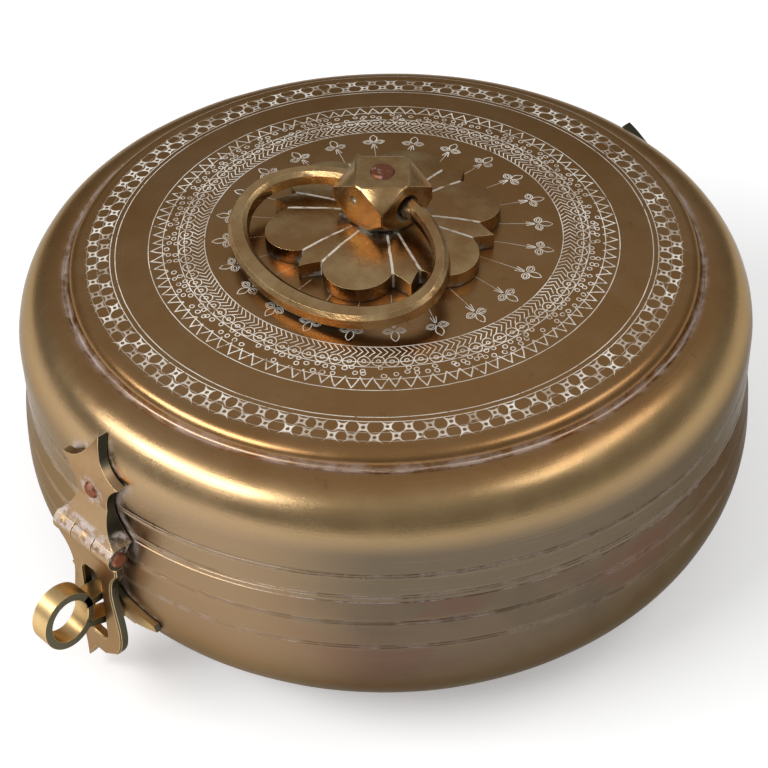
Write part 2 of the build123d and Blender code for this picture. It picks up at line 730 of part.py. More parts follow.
with BuildPart() as rosette_plate:
    with BuildSketch(Plane.XZ):
        with BuildLine():
            edge_height = dome_at(rosette_blank) + rosette_seat
            underside = RadiusArc((rosette_blank, edge_height), (0, dome_height + rosette_seat),
                                  -dome_sphere)
            rise = Polyline(underside @ 1, (0, knob_seat_height), (knob_seat_radius, knob_seat_height))
            crown = TangentArc(rise @ 1, (rosette_blank, edge_height + rosette_thickness),
                               tangent=(1, 0))
            Line(crown @ 1, underside @ 0)
        make_face()
    revolve(axis=Axis.Z)
    with BuildSketch(Plane.XY.offset(step_height)):
        with BuildLine():
            for middle in petal_angles:
                ThreePointArc(polar(petal_notch, middle - petal_half_angle),
                              polar(petal_reach, middle),
                              polar(petal_notch, middle + petal_half_angle))
                ThreePointArc(polar(petal_notch, middle + petal_half_angle),
                              polar(leaf_middle, middle + petal_step / 2 - leaf_pinch),
                              polar(leaf_reach, middle + petal_step / 2))
                ThreePointArc(polar(leaf_reach, middle + petal_step / 2),
                              polar(leaf_middle, middle + petal_step / 2 + leaf_pinch),
                              polar(petal_notch, middle + petal_step - petal_half_angle))
        make_face()
    extrude(amount=knob_top, mode=Mode.INTERSECT)
    with BuildSketch(Plane.XY.offset(step_height)):
        Circle(knob_rivet_radius + rivet_fit)
    extrude(amount=knob_top, mode=Mode.SUBTRACT)
rosette_plate.part.label = "rosette_plate"
export_step(rosette_plate.part, "parts/rosette_plate.step")

with BuildPart() as knob:
    with BuildSketch(Plane.XY.offset(knob_seat_height)):
        Rectangle(knob_width, knob_width)
    extrude(amount=knob_height)
    with BuildSketch(*knob_diagonals):
        with BuildLine():
            Polyline((knob_top_cut, knob_height / 2), (knob_corner, knob_waist / 2),
                     (knob_width, knob_waist / 2), (knob_width, knob_height),
                     (knob_top_cut, knob_height), close=True)
        make_face()
        with BuildLine():
            Polyline((knob_foot_cut, -knob_height / 2), (knob_corner, -knob_waist / 2),
                     (knob_width, -knob_waist / 2), (knob_width, -knob_height),
                     (knob_foot_cut, -knob_height), close=True)
        make_face()
    extrude(amount=knob_width, both=True, mode=Mode.SUBTRACT)
    chamfer(knob.edges(), knob_edge)
    with BuildSketch(Plane.YZ):
        with Locations((0, bore_height)):
            Circle(bore_radius)
    extrude(amount=knob_width, both=True, mode=Mode.SUBTRACT)
    with BuildSketch(Plane.XZ):
        with BuildLine():
            Polyline((knob_width / 2, bore_height),
                     (knob_width / 2, bore_height + countersink_radius),
                     (knob_width / 2 - countersink_depth, bore_height + bore_radius),
                     (knob_width / 2 - countersink_depth, bore_height), close=True)
            Polyline((-knob_width / 2, bore_height),
                     (-knob_width / 2, bore_height + countersink_radius),
                     (countersink_depth - knob_width / 2, bore_height + bore_radius),
                     (countersink_depth - knob_width / 2, bore_height), close=True)
        make_face()
    revolve(axis=Axis((0, 0, bore_height), (1, 0, 0)), mode=Mode.SUBTRACT)
    with Locations((dimple_across, -knob_width / 2, bore_height + dimple_rise)):
        Sphere(dimple_radius, mode=Mode.SUBTRACT)
    with BuildSketch(Plane.XY.offset(knob_seat_height)):
        Circle(knob_rivet_radius + rivet_fit)
    extrude(amount=knob_height, mode=Mode.SUBTRACT)
knob.part.label = "knob"
export_step(knob.part, "parts/knob.step")

with BuildPart() as knob_rove:
    with BuildSketch(Plane.XY.offset(rove_top - rove_thickness)):
        Circle(rove_radius)
        Circle(knob_rivet_radius + rivet_fit, mode=Mode.SUBTRACT)
    extrude(amount=rove_thickness)
    chamfer(knob_rove.edges().sort_by(Axis.Z)[0:2].sort_by(SortBy.RADIUS)[-1], collar_edge)
knob_rove.part.label = "knob_rove"
export_step(knob_rove.part, "parts/knob_rove.step")

with BuildPart() as knob_rivet:
    with BuildSketch(Plane.XY.offset(rove_top - rove_thickness)):
        Circle(knob_rivet_radius)
    extrude(amount=knob_top - rove_top + rove_thickness)
    with BuildSketch(Plane.XY.offset(knob_top)):
        Circle(knob_rivet_head_radius)
    extrude(amount=knob_rivet_head, taper=head_taper)
    with BuildSketch(Plane(origin=(0, 0, rove_top - rove_thickness), z_dir=(0, 0, -1))):
        Circle(knob_rivet_head_radius)
    extrude(amount=knob_rivet_head, taper=head_taper)
knob_rivet.part.label = "knob_rivet"
export_step(knob_rivet.part, "parts/knob_rivet.step")

hasp_plate_shape = flat_plate(hasp_side)
hinge_plate_shape = flat_plate(hinge_side)
plate_face = lid_radius + plate_gap + plate_thickness
lid_inside = skirt_at(rivet_height - rivet_head_radius) - lid_wall - rivet_inner_gap
hasp_rivet_shape = rivet_solid(hasp_side, rivet_height, plate_face, lid_inside)
hinge_rivet_shape = rivet_solid(hinge_side, rivet_height, plate_face, lid_inside)
hasp_pin_shape = pin_solid(hasp_side)
hinge_pin_shape = pin_solid(hinge_side)

with BuildPart() as hasp_plate:
    add(hasp_plate_shape)
hasp_plate.part.label = "hasp_plate"
export_step(hasp_plate.part, "parts/hasp_plate.step")

with BuildPart() as hasp_plate_rivet:
    add(hasp_rivet_shape)
hasp_plate_rivet.part.label = "hasp_plate_rivet"
export_step(hasp_plate_rivet.part, "parts/hasp_plate_rivet.step")

with BuildPart() as hasp_pin:
    add(hasp_pin_shape)
hasp_pin.part.label = "hasp_pin"
export_step(hasp_pin.part, "parts/hasp_pin.step")

with BuildPart() as hinge_lid_leaf:
    add(hinge_plate_shape)
hinge_lid_leaf.part.label = "hinge_lid_leaf"
export_step(hinge_lid_leaf.part, "parts/hinge_lid_leaf.step")

with BuildPart() as hinge_lid_rivet:
    add(hinge_rivet_shape)
hinge_lid_rivet.part.label = "hinge_lid_rivet"
export_step(hinge_lid_rivet.part, "parts/hinge_lid_rivet.step")

with BuildPart() as hinge_pin:
    add(hinge_pin_shape)
hinge_pin.part.label = "hinge_pin"
export_step(hinge_pin.part, "parts/hinge_pin.step")

# ---- the bail, lying down towards the hasp --------------------------------------------------------
with BuildPart() as bail:
    with BuildSketch(bail_plane.offset(-bail_thickness / 2)):
        with Locations((bail_shift, (bail_crest - bail_reach + bail_bar_near / 2
                                     - bail_bar_far / 2) / 2)):
            Ellipse(bail_half_width + bail_bar_side / 2,
                    (bail_reach + bail_crest + bail_bar_side) / 2)
        with Locations((bail_shift, (bail_crest - bail_reach - bail_bar_near / 2
                                     + bail_bar_far / 2) / 2)):
            Ellipse(bail_half_width - bail_bar_side / 2,
                    (bail_reach + bail_crest - bail_bar_side) / 2, mode=Mode.SUBTRACT)
    extrude(amount=bail_thickness)
    chamfer(bail.edges(), bail_bevel)
    with BuildSketch(bail_plane.offset(-bail_thickness)):
        Rectangle(2 * bail_gap_half, bail_half_width)
    extrude(amount=2 * bail_thickness, mode=Mode.SUBTRACT)
    with BuildSketch(Plane(origin=(bail_gap_half, 0, bore_height), z_dir=(1, 0, 0)),
                     Plane(origin=(-bail_gap_half, 0, bore_height), z_dir=(-1, 0, 0))):
        Circle(bail_shoulder_radius)
    extrude(amount=bail_shoulder)
    with BuildSketch(Plane(origin=(bail_gap_half, 0, bore_height), z_dir=(-1, 0, 0)),
                     Plane(origin=(-bail_gap_half, 0, bore_height), z_dir=(1, 0, 0))):
        Circle(bore_radius - pin_clearance)
    extrude(amount=pintle_depth)
bail.part.label = "bail"
export_step(bail.part, "parts/bail.step")

# ---- the hasp's leaf, hanging over the staple -------------------------------------------------------
with BuildPart() as hasp_leaf:
    with BuildSketch(Plane.XZ.offset(barrel_reach - hasp_thickness / 2)):
        with BuildLine():
            top = Polyline((-hasp_top_half, barrel_height - hasp_top_drop),
                           (-hasp_top_half, barrel_height - hasp_start_drop),
                           (-knuckle_half, barrel_height - hasp_start_drop),
                           (-knuckle_half, barrel_height), (knuckle_half, barrel_height),
                           (knuckle_half, barrel_height - hasp_start_drop),
                           (hasp_top_half, barrel_height - hasp_start_drop),
                           (hasp_top_half, barrel_height - hasp_top_drop))
            right = Spline(top @ 1, (hasp_neck_half, barrel_height - hasp_neck_drop),
                           (hasp_hip_half, barrel_height - hasp_hip_drop),
                           (hasp_tail_half, barrel_height - hasp_tail_drop))
            fork = Polyline(right @ 1, (hasp_fork_half, barrel_height - hasp_fork_drop),
                            (-hasp_fork_half, barrel_height - hasp_fork_drop),
                            (-hasp_fin_half, barrel_height - hasp_fin_drop))
            Spline(fork @ 1, (-hasp_tail_half, barrel_height - hasp_tail_drop),
                   (-hasp_hip_half, barrel_height - hasp_hip_drop),
                   (-hasp_neck_half, barrel_height - hasp_neck_drop), top @ 0)
        make_face()
        with Locations((0, barrel_height - (slot_top_drop + slot_foot_drop) / 2)):
            RectangleRounded(2 * slot_half, slot_foot_drop - slot_top_drop, slot_corner,
                             mode=Mode.SUBTRACT)
    extrude(amount=hasp_thickness)
    chamfer(hasp_leaf.faces().sort_by(Axis.Y)[0].edges(), plate_edge)
    with BuildSketch(pin_plane(hasp_side)):
        Circle(barrel_radius)
    extrude(amount=knuckle_half, both=True)
    with BuildSketch(pin_plane(hasp_side)):
        Circle(pin_radius + pin_clearance)
    extrude(amount=both_sides, both=True, mode=Mode.SUBTRACT)
hasp_leaf.part.label = "hasp_leaf"
export_step(hasp_leaf.part, "parts/hasp_leaf.step")
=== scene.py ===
"""Brass paan box, dressed for a studio picture: turned and engraved lid, bowl, hasp and bail.

Everything is in the CAD frame in metres. The turned pieces are lathed again, finer than the
CAD tessellation; the small fittings are rounded copies of their CAD nodes.
"""
import math

import bmesh
import bpy
from mathutils import Matrix, Vector, noise


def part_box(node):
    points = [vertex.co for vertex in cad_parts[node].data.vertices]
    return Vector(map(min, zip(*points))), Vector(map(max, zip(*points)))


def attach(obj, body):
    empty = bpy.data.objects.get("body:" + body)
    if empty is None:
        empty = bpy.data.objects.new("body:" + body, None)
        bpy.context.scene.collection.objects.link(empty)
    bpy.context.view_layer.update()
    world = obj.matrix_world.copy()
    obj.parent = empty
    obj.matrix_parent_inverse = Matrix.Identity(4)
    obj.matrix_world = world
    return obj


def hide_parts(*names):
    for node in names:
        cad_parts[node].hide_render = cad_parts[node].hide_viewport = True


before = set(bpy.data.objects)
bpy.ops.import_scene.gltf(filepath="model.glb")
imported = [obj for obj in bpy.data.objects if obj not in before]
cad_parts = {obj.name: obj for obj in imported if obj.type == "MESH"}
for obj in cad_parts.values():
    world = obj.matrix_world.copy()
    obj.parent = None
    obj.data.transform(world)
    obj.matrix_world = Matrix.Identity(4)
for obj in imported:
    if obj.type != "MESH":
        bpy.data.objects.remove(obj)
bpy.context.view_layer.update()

MM = 0.001

# ---- sizes of the turned pieces, in millimetres as in the CAD ---------------------------------
BOWL_RADIUS, BOWL_CORNER, WALL = 121.0, 44.0, 2.0
SEAM_HEIGHT, RIM_RADIUS = 64.2, 119.3
LID_RADIUS, SHOULDER_HEIGHT, SHOULDER_RISE, SHOULDER_RUN = 119.6, 82.3, 19.7, 16.1
SHOULDER_BREAK = 38.0            # degrees, where the shoulder's wide arc meets its tight one
STEP_WIDTH, DISC_EDGE_RADIUS, DISC_RISE, DOME_RISE = 1.6, 4.4, 4.6, 7.0
STEP_HEIGHT = SHOULDER_HEIGHT + SHOULDER_RISE
STEP_RADIUS = LID_RADIUS - SHOULDER_RUN
DISC_RADIUS = STEP_RADIUS - STEP_WIDTH
DOME_EDGE = DISC_RADIUS - DISC_EDGE_RADIUS
ROLL_HEIGHT = STEP_HEIGHT + DISC_RISE - DISC_EDGE_RADIUS
DOME_HEIGHT = STEP_HEIGHT + DISC_RISE + DOME_RISE
BREAK_ACROSS = math.cos(math.radians(SHOULDER_BREAK))
BREAK_UP = math.sin(math.radians(SHOULDER_BREAK))
CAP_RADIUS = (((1 - BREAK_ACROSS) * SHOULDER_RISE - BREAK_UP * SHOULDER_RUN)
              / ((1 - BREAK_ACROSS) * (1 - BREAK_UP) - BREAK_UP * BREAK_ACROSS))
SHOULDER_RADIUS = (SHOULDER_RUN - CAP_RADIUS * BREAK_ACROSS) / (1 - BREAK_ACROSS)
SEGMENTS, DOME_STEPS, WALL_STEPS = 288, 24, 10
ON_AXIS = 1e-6
WORN_EDGE = 0.25                 # the seam's two edges are worn round by this much
CREASE_RADIUS, CREASE_RISE = 1.0, 0.65       # of the soft crease at the foot of the step
LINE_DEPTH, LINE_WIDTH, LINE_PAIR = 0.16, 0.34, 0.95
LID_LINES = (66.4, 75.0)         # heights of the turned line pairs
BOWL_LINES = (47.0, 56.4)
BOWL_INSIDE_HEIGHTS = (58.0, 51.0)           # where the curve of the wall's inside has points
DENT_DEPTH, DENT_LENGTH = 0.30, 26.0         # of the hammer's marks
DENT_FINE_SHARE, DENT_FINE_SCALE = 0.4, 2.7  # of the smaller marks among them
DENT_MEAN, DENT_SWING = 0.5, 0.36
DENT_FADE = 4.0                  # they fade out this far from the seam and the foot

# ---- sizes of the staple's ring, as in the CAD, and of the fittings' edges --------------------
RING_REACH, RING_HEIGHT, RING_HALF_WIDTH, RING_HALF_HEIGHT = 138.8, 36.0, 9.6, 10.6
STRIP_WIDTH, STRIP_THICKNESS = 6.7, 2.8
RING_CLOSE_ANGLE = 36.0          # half of the arc that closes the ring towards the bowl
STAPLE_WEAR = 0.4                # width of the staple's worn edges
TURNED_SHARP, FITTING_SHARP, WORN_FROM = 40, 32, 34          # degrees
WELD_DISTANCE, FLAT_ANGLE = 0.02, 0.5        # millimetres and degrees, to clean a CAD mesh


# ---- turned shapes ----------------------------------------------------------------------------
def arc(centre, radii, start, end, steps):
    """Points of an ellipse's arc in a half section, angles in degrees."""
    points = []
    for step in range(steps + 1):
        angle = math.radians(start + (end - start) * step / steps)
        points.append((centre[0] + radii[0] * math.cos(angle),
                       centre[1] + radii[1] * math.sin(angle)))
    return points


def with_lines(radius_at, start, end, heights):
    """A wall from one height to another, with a turned pair of lines cut at some heights."""
    marks = {start + (end - start) * step / WALL_STEPS: 0.0 for step in range(WALL_STEPS + 1)}
    for height in heights:
        for line in (height - LINE_PAIR / 2, height + LINE_PAIR / 2):
            marks[line - LINE_WIDTH / 2] = 0.0
            marks[line] = LINE_DEPTH
            marks[line + LINE_WIDTH / 2] = 0.0
    return [(radius_at(height) - marks[height], height) for height in sorted(marks)]


def lathe(name, profile):
    """A turned mesh from a half section that starts and ends on the axis."""
    mesh = bmesh.new()
    rings = []
    for radius, height in profile:
        if radius < ON_AXIS:
            rings.append([mesh.verts.new((0, 0, height * MM))])
            continue
        ring = []
        for segment in range(SEGMENTS):
            angle = 2 * math.pi * segment / SEGMENTS
            ring.append(mesh.verts.new((radius * math.cos(angle) * MM,
                                        radius * math.sin(angle) * MM, height * MM)))
        rings.append(ring)
    for low, high in zip(rings, rings[1:]):
        for segment in range(SEGMENTS):
            following = (segment + 1) % SEGMENTS
            if len(low) == 1:
                mesh.faces.new((low[0], high[following], high[segment]))
            elif len(high) == 1:
                mesh.faces.new((low[segment], low[following], high[0]))
            else:
                mesh.faces.new((low[segment], low[following], high[following], high[segment]))
    bmesh.ops.recalc_face_normals(mesh, faces=mesh.faces)
    beat(mesh)
    return add_mesh(name, mesh, TURNED_SHARP)


def beat(mesh):
    """Sinks a turned surface here and there, as a hammer leaves it, but not at its seam or foot."""
    mesh.normal_update()
    for vert in mesh.verts:
        place = vert.co / MM
        swell = noise.noise(place / DENT_LENGTH) \
            + DENT_FINE_SHARE * noise.noise(place / DENT_LENGTH * DENT_FINE_SCALE)
        away = min(abs(place.z - SEAM_HEIGHT), place.z) / DENT_FADE
        depth = (DENT_MEAN + DENT_SWING * swell) * DENT_DEPTH * min(1.0, away)
        vert.co -= vert.normal * depth * MM


def add_mesh(name, mesh, sharp_angle):
    """Turns a bmesh into an object, smooth except where it bends more than an angle."""
    data = bpy.data.meshes.new(name)
    mesh.to_mesh(data)
    mesh.free()
    data.shade_smooth()
    data.set_sharp_from_angle(angle=math.radians(sharp_angle))
    obj = bpy.data.objects.new(name, data)
    bpy.context.scene.collection.objects.link(obj)
    return obj


def bowl_wall_radius(height):
    """Outside of the bowl's wall, which leans in a little above its widest line."""
    rise = (height - BOWL_CORNER) / (SEAM_HEIGHT - BOWL_CORNER)
    return BOWL_RADIUS - (BOWL_RADIUS - RIM_RADIUS) * rise * rise


def skirt_radius(height):
    """Outside of the lid's straight skirt."""
    share = (height - SEAM_HEIGHT) / (SHOULDER_HEIGHT - SEAM_HEIGHT)
    return RIM_RADIUS + (LID_RADIUS - RIM_RADIUS) * share


def dome(radius_out, grow=0.0):
    """Points over the top of the lid, from a radius in to the axis."""
    sphere = (DOME_EDGE**2 + DOME_RISE**2) / (2 * DOME_RISE)
    points = []
    for step in range(DOME_STEPS + 1):
        radius = radius_out * (1 - step / DOME_STEPS)
        points.append((radius, DOME_HEIGHT + grow - sphere + math.sqrt(sphere**2 - radius**2)))
    return points


def shoulder(grow=0.0):
    """The shoulder from the skirt up to the step: a wide arc and a tighter one."""
    wide, tight = SHOULDER_RADIUS + grow, CAP_RADIUS + grow
    return arc((LID_RADIUS - SHOULDER_RADIUS, SHOULDER_HEIGHT), (wide, wide),
               0, SHOULDER_BREAK, 14)[:-1] \
        + arc((STEP_RADIUS, STEP_HEIGHT - CAP_RADIUS), (tight, tight), SHOULDER_BREAK, 90, 18)


def bowl_profile():
    """Half section of the bowl: out along the foot, up the wall, over the rim and back inside."""
    foot = BOWL_RADIUS - BOWL_CORNER
    corner, inner = (foot, BOWL_CORNER), BOWL_CORNER - WALL
    outside = [(0, 0), (foot / 2, 0)] + arc(corner, (BOWL_CORNER, BOWL_CORNER), 270, 360, 40)[:-1]
    wall = with_lines(bowl_wall_radius, BOWL_CORNER, SEAM_HEIGHT - WORN_EDGE, BOWL_LINES)
    rim = [(RIM_RADIUS - WORN_EDGE, SEAM_HEIGHT), (RIM_RADIUS - WALL, SEAM_HEIGHT)]
    inside = [(bowl_wall_radius(height) - WALL, height) for height in BOWL_INSIDE_HEIGHTS]
    inside += arc(corner, (inner, inner), 360, 270, 40)
    return outside + wall + rim + inside + [(foot / 2, WALL), (0, WALL)]


def lid_profile():
    """Half section of the lid: out over the top, down the skirt, and up the inside to the axis."""
    rim = [(RIM_RADIUS - WALL, SEAM_HEIGHT), (RIM_RADIUS - WORN_EDGE, SEAM_HEIGHT)]
    skirt = with_lines(skirt_radius, SEAM_HEIGHT + WORN_EDGE, SHOULDER_HEIGHT, LID_LINES)[:-1]
    crease = arc((DISC_RADIUS + CREASE_RADIUS, STEP_HEIGHT + CREASE_RISE),
                 (CREASE_RADIUS, CREASE_RADIUS), 275, 188, 6)
    roll = arc((DOME_EDGE, ROLL_HEIGHT), (DISC_EDGE_RADIUS, DISC_EDGE_RADIUS), 10, 86, 14)
    inner = DISC_EDGE_RADIUS - WALL
    under_roll = arc((DOME_EDGE, ROLL_HEIGHT), (inner, inner), 0, 86, 8)
    outside = rim + skirt + shoulder() + crease + roll + dome(DOME_EDGE)
    return outside[::-1] + shoulder(-WALL) + under_roll + dome(DOME_EDGE, -WALL)


# ---- the fittings: rounded copies of their CAD nodes ------------------------------------------
def worn_bevel(obj, width):
    """Rounds the hard edges; the rounded faces take the piece's second material."""
    bevel = obj.modifiers.new("worn", "BEVEL")
    bevel.width = width * MM
    bevel.segments = 3
    bevel.limit_method = "ANGLE"
    bevel.angle_limit = math.radians(WORN_FROM)
    bevel.harden_normals = True
    bevel.material = 1


def rounded_copy(node, width):
    """A copy of a CAD node with its hard edges worn round; it stands for the node."""
    mesh = bmesh.new()
    mesh.from_mesh(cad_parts[node].data)
    bmesh.ops.remove_doubles(mesh, verts=mesh.verts, dist=WELD_DISTANCE * MM)
    bmesh.ops.dissolve_limit(mesh, angle_limit=math.radians(FLAT_ANGLE), verts=mesh.verts,
                             edges=mesh.edges)
    copy = add_mesh(node + "_worn", mesh, FITTING_SHARP)
    worn_bevel(copy, width)
    return copy


def ring_closure():
    """The part of the staple's ring nearest the bowl, between its two legs."""
    centre = (-RING_REACH, RING_HEIGHT)
    outer = arc(centre, (RING_HALF_WIDTH, RING_HALF_HEIGHT),
                -RING_CLOSE_ANGLE, RING_CLOSE_ANGLE, 12)
    inner = arc(centre, (RING_HALF_WIDTH - STRIP_THICKNESS, RING_HALF_HEIGHT - STRIP_THICKNESS),
                RING_CLOSE_ANGLE, -RING_CLOSE_ANGLE, 12)
    mesh = bmesh.new()
    sides = []
    for across in (-STRIP_WIDTH / 2, STRIP_WIDTH / 2):
        sides.append([mesh.verts.new((across * MM, out * MM, up * MM))
                      for out, up in outer + inner])
    count = len(outer) - 1
    for side in sides:
        for step in range(count):
            mesh.faces.new((side[step], side[step + 1], side[-2 - step], side[-1 - step]))
    for step in range(len(sides[0])):
        after = (step + 1) % len(sides[0])
        mesh.faces.new((sides[0][step], sides[0][after], sides[1][after], sides[1][step]))
    bmesh.ops.recalc_face_normals(mesh, faces=mesh.faces)
    closure = add_mesh("staple_ring_closure", mesh, FITTING_SHARP)
    worn_bevel(closure, STAPLE_WEAR)
    return closure


# ---- node-tree shorthand ----------------------------------------------------------------------
class Sums:
    """Writes arithmetic as shader nodes, so that a pattern reads as a formula."""

    def __init__(self, material):
        self.tree = material.node_tree

    def node(self, kind, **settings):
        made = self.tree.nodes.new(kind)
        for setting, value in settings.items():
            setattr(made, setting, value)
        return made

    def join(self, value, socket):
        if isinstance(value, bpy.types.NodeSocket):
            self.tree.links.new(value, socket)
        else:
            socket.default_value = value

    def math(self, operation, *values):
        made = self.node("ShaderNodeMath", operation=operation)
        for value, socket in zip(values, made.inputs):
            self.join(value, socket)
        return made.outputs[0]

    def add(self, a, b):
        return self.math("ADD", a, b)

    def sub(self, a, b):
        return self.math("SUBTRACT", a, b)

    def mul(self, a, b):
        return self.math("MULTIPLY", a, b)

    def size(self, value):
        return self.math("ABSOLUTE", value)

    def most(self, *values):
        return self.union(values)

    def union(self, values):
        """The largest of several values, each taken in as soon as it is made."""
        top = None
        for value in values:
            top = value if top is None else self.math("MAXIMUM", top, value)
        return top

    def length(self, x, y):
        return self.math("SQRT", self.add(self.mul(x, x), self.mul(y, y)))

    def ramp(self, value, start, end, low=0.0, high=1.0):
        """Goes from low to high, smoothly, as the value goes from start to end."""
        made = self.node("ShaderNodeMapRange", interpolation_type="SMOOTHSTEP")
        for socket, number in zip(made.inputs[1:5], (start, end, low, high)):
            socket.default_value = number
        self.join(value, made.inputs[0])
        return made.outputs[0]

    def line(self, distance, width, soft=0.12):
        """1 on a line of a width where a distance is zero, 0 away from it."""
        return self.ramp(self.size(distance), width / 2, width / 2 + soft, 1.0, 0.0)

    def between(self, value, start, end, soft=0.3):
        """1 from start to end, 0 outside."""
        rise = self.ramp(value, start - soft, start)
        fall = self.ramp(value, end, end + soft, 1.0, 0.0)
        return self.mul(rise, fall)

    def noise(self, vector, scale, detail=4.0, roughness=0.55):
        made = self.node("ShaderNodeTexNoise")
        self.join(vector, made.inputs["Vector"])
        made.inputs["Scale"].default_value = scale
        made.inputs["Detail"].default_value = detail
        made.inputs["Roughness"].default_value = roughness
        return made.outputs[0]

    def patch(self, vector, scale, start, end, detail=4.0, roughness=0.6):
        """1 in irregular patches, 0 between them."""
        return self.ramp(self.noise(vector, scale, detail, roughness), start, end)

    def stretch(self, vector, scale):
        made = self.node("ShaderNodeVectorMath", operation="MULTIPLY")
        self.join(vector, made.inputs[0])
        made.inputs[1].default_value = scale
        return made.outputs[0]

    def vector(self, *parts):
        made = self.node("ShaderNodeCombineXYZ")
        for part, socket in zip(parts, made.inputs):
            self.join(part, socket)
        return made.outputs[0]

    def split(self, vector):
        made = self.node("ShaderNodeSeparateXYZ")
        self.tree.links.new(vector, made.inputs[0])
        return made.outputs

    def mix(self, share, a, b):
        made = self.node("ShaderNodeMix", data_type="RGBA")
        self.join(share, made.inputs["Factor"])
        for value, socket in ((a, made.inputs[6]), (b, made.inputs[7])):
            self.join(value if isinstance(value, bpy.types.NodeSocket) else (*value, 1), socket)
        return made.outputs[2]

    def random(self, value, seed):
        made = self.node("ShaderNodeTexWhiteNoise", noise_dimensions="2D")
        self.tree.links.new(self.vector(value, seed), made.inputs["Vector"])
        return made.outputs[0]

    def jitter(self, number, seed, reach):
        """A random offset for each numbered cell, up to half of reach either way."""
        return self.mul(self.sub(self.random(number, seed), 0.5), reach)


# ---- colours ----------------------------------------------------------------------------------
OLIVE_BRASS = (0.300, 0.155, 0.055)
# also painted on the lid's shoulder as a painted highlight
GOLD_BRASS = (0.49, 0.350, 0.170)
RED_BROWN = (0.140, 0.078, 0.058)
DULL_BROWN = (0.105, 0.082, 0.060)
TAN_BRASS = (0.40, 0.265, 0.145)
BRIGHT_EDGE = (0.74, 0.52, 0.24)
# the two darkest colours are patina, and are also painted as shade into hollows and corners
DARK_PATINA_AND_SHADE = (0.085, 0.055, 0.030)
GREEN_BLACK_PATINA_AND_SHADE = (0.052, 0.056, 0.042)
GREEN_WHITE = (0.36, 0.40, 0.37)
PINK_WHITE = (0.56, 0.47, 0.44)
CHALK = (0.80, 0.76, 0.68)
COPPER = (0.27, 0.105, 0.062)
CLEAN_BRASS = (0.52, 0.37, 0.17)
GLANCING_TINT = (0.50, 0.45, 0.38)     # old brass doesn't turn white where it is seen edge on


def new_material(name):
    material = bpy.data.materials.new(name)
    material.use_nodes = True
    material.node_tree.nodes.clear()
    return material, Sums(material)


class Metal:
    """A metal surface built up in layers: a colour, its roughness, its height and its dirt."""

    def __init__(self, name, base, roughness):
        self.material, self.sums = new_material(name)
        sums = self.sums
        place = sums.node("ShaderNodeTexCoord")
        self.where, self.facing = place.outputs["Object"], place.outputs["Normal"]
        self.x, self.y, self.z = (sums.mul(part, 1 / MM) for part in sums.split(self.where))
        self.radius = sums.length(self.x, self.y)
        self.turn = sums.mul(sums.math("ARCTAN2", self.y, self.x), 1 / (2 * math.pi))
        self.mottle = sums.noise(self.where, 70, 5.0, 0.62)
        self.colour = base
        self.rough = sums.add(sums.mul(self.mottle, 0.22), roughness - 0.11)
        self.height = sums.mul(sums.noise(self.where, 900, 3.0, 0.6), 0.10)
        self.dirt = 0.0

    def tint(self, share, colour):
        self.colour = self.sums.mix(share, self.colour, colour)

    def wear(self, share, colour):
        """Broad cloudy patches where the patina has worn to another colour."""
        sums = self.sums
        broad = sums.noise(self.where, 14, 3.0)
        cloud = sums.ramp(sums.add(sums.mul(broad, 0.6), sums.mul(self.mottle, 0.4)), 0.40, 0.62)
        self.tint(sums.mul(cloud, share), colour)

    def spots(self, share, colour=DARK_PATINA_AND_SHADE, scale=190):
        """Small irregular spots of another colour."""
        spotted = self.sums.patch(self.where, scale, 0.60, 0.74, 6.0, 0.7)
        self.tint(self.sums.mul(spotted, share), colour)

    def turning(self, share, colour):
        """Fine streaks round the axis, from the lathe and from polishing."""
        sums = self.sums
        along = sums.vector(sums.mul(self.radius, 2.6), sums.mul(self.z, 2.6),
                            sums.mul(self.turn, 9.0))
        fine = sums.noise(along, 1.6, 3.0, 0.7)
        self.height = sums.add(self.height, sums.mul(fine, 0.14))
        self.tint(sums.ramp(fine, 0.55, 0.75, 0.0, share), colour)

    def patina_and_shade_in_hollows(self, distance, share, patina_and_shade):
        """Dark patina and painted shade where other surfaces stand close; gives how deep in a
        corner a point is.
        """
        sums = self.sums
        corner = sums.node("ShaderNodeAmbientOcclusion", samples=6, only_local=False)
        corner.inputs["Distance"].default_value = distance * MM
        deep = sums.ramp(corner.outputs["AO"], 0.30, 0.90, 1.0, 0.0)
        self.tint(sums.mul(sums.mul(deep, deep), share), patina_and_shade)
        self.rough = sums.add(self.rough, sums.mul(deep, 0.25))
        return deep

    def deposit(self, share, colour, lift=0.25):
        """A dry crust that hides the metal."""
        self.tint(share, colour)
        self.dirt = self.sums.most(self.dirt, share) if self.dirt else share
        if lift:
            self.height = self.sums.add(self.height, self.sums.mul(share, lift))

    def finish(self, depth=0.16, coat=0.35):
        """Joins the layers to one shader; depth is the relief's, in millimetres."""
        sums = self.sums
        surface = sums.node("ShaderNodeBsdfPrincipled")
        sums.join(self.colour, surface.inputs["Base Color"])
        metallic = sums.sub(1.0, sums.mul(self.dirt, 0.9)) if self.dirt else 1.0
        sums.join(metallic, surface.inputs["Metallic"])
        rough = sums.add(self.rough, sums.mul(self.dirt, 0.3)) if self.dirt else self.rough
        sums.join(rough, surface.inputs["Roughness"])
        surface.inputs["Specular Tint"].default_value = (*GLANCING_TINT, 1)
        surface.inputs["Coat Weight"].default_value = coat
        surface.inputs["Coat Roughness"].default_value = 0.22
        bump = sums.node("ShaderNodeBump")
        bump.inputs["Strength"].default_value = 1.0
        bump.inputs["Distance"].default_value = depth * MM
        sums.join(self.height, bump.inputs["Height"])
        sums.tree.links.new(bump.outputs[0], surface.inputs["Normal"])
        output = sums.node("ShaderNodeOutputMaterial")
        sums.tree.links.new(surface.outputs[0], output.inputs["Surface"])
        return self.material


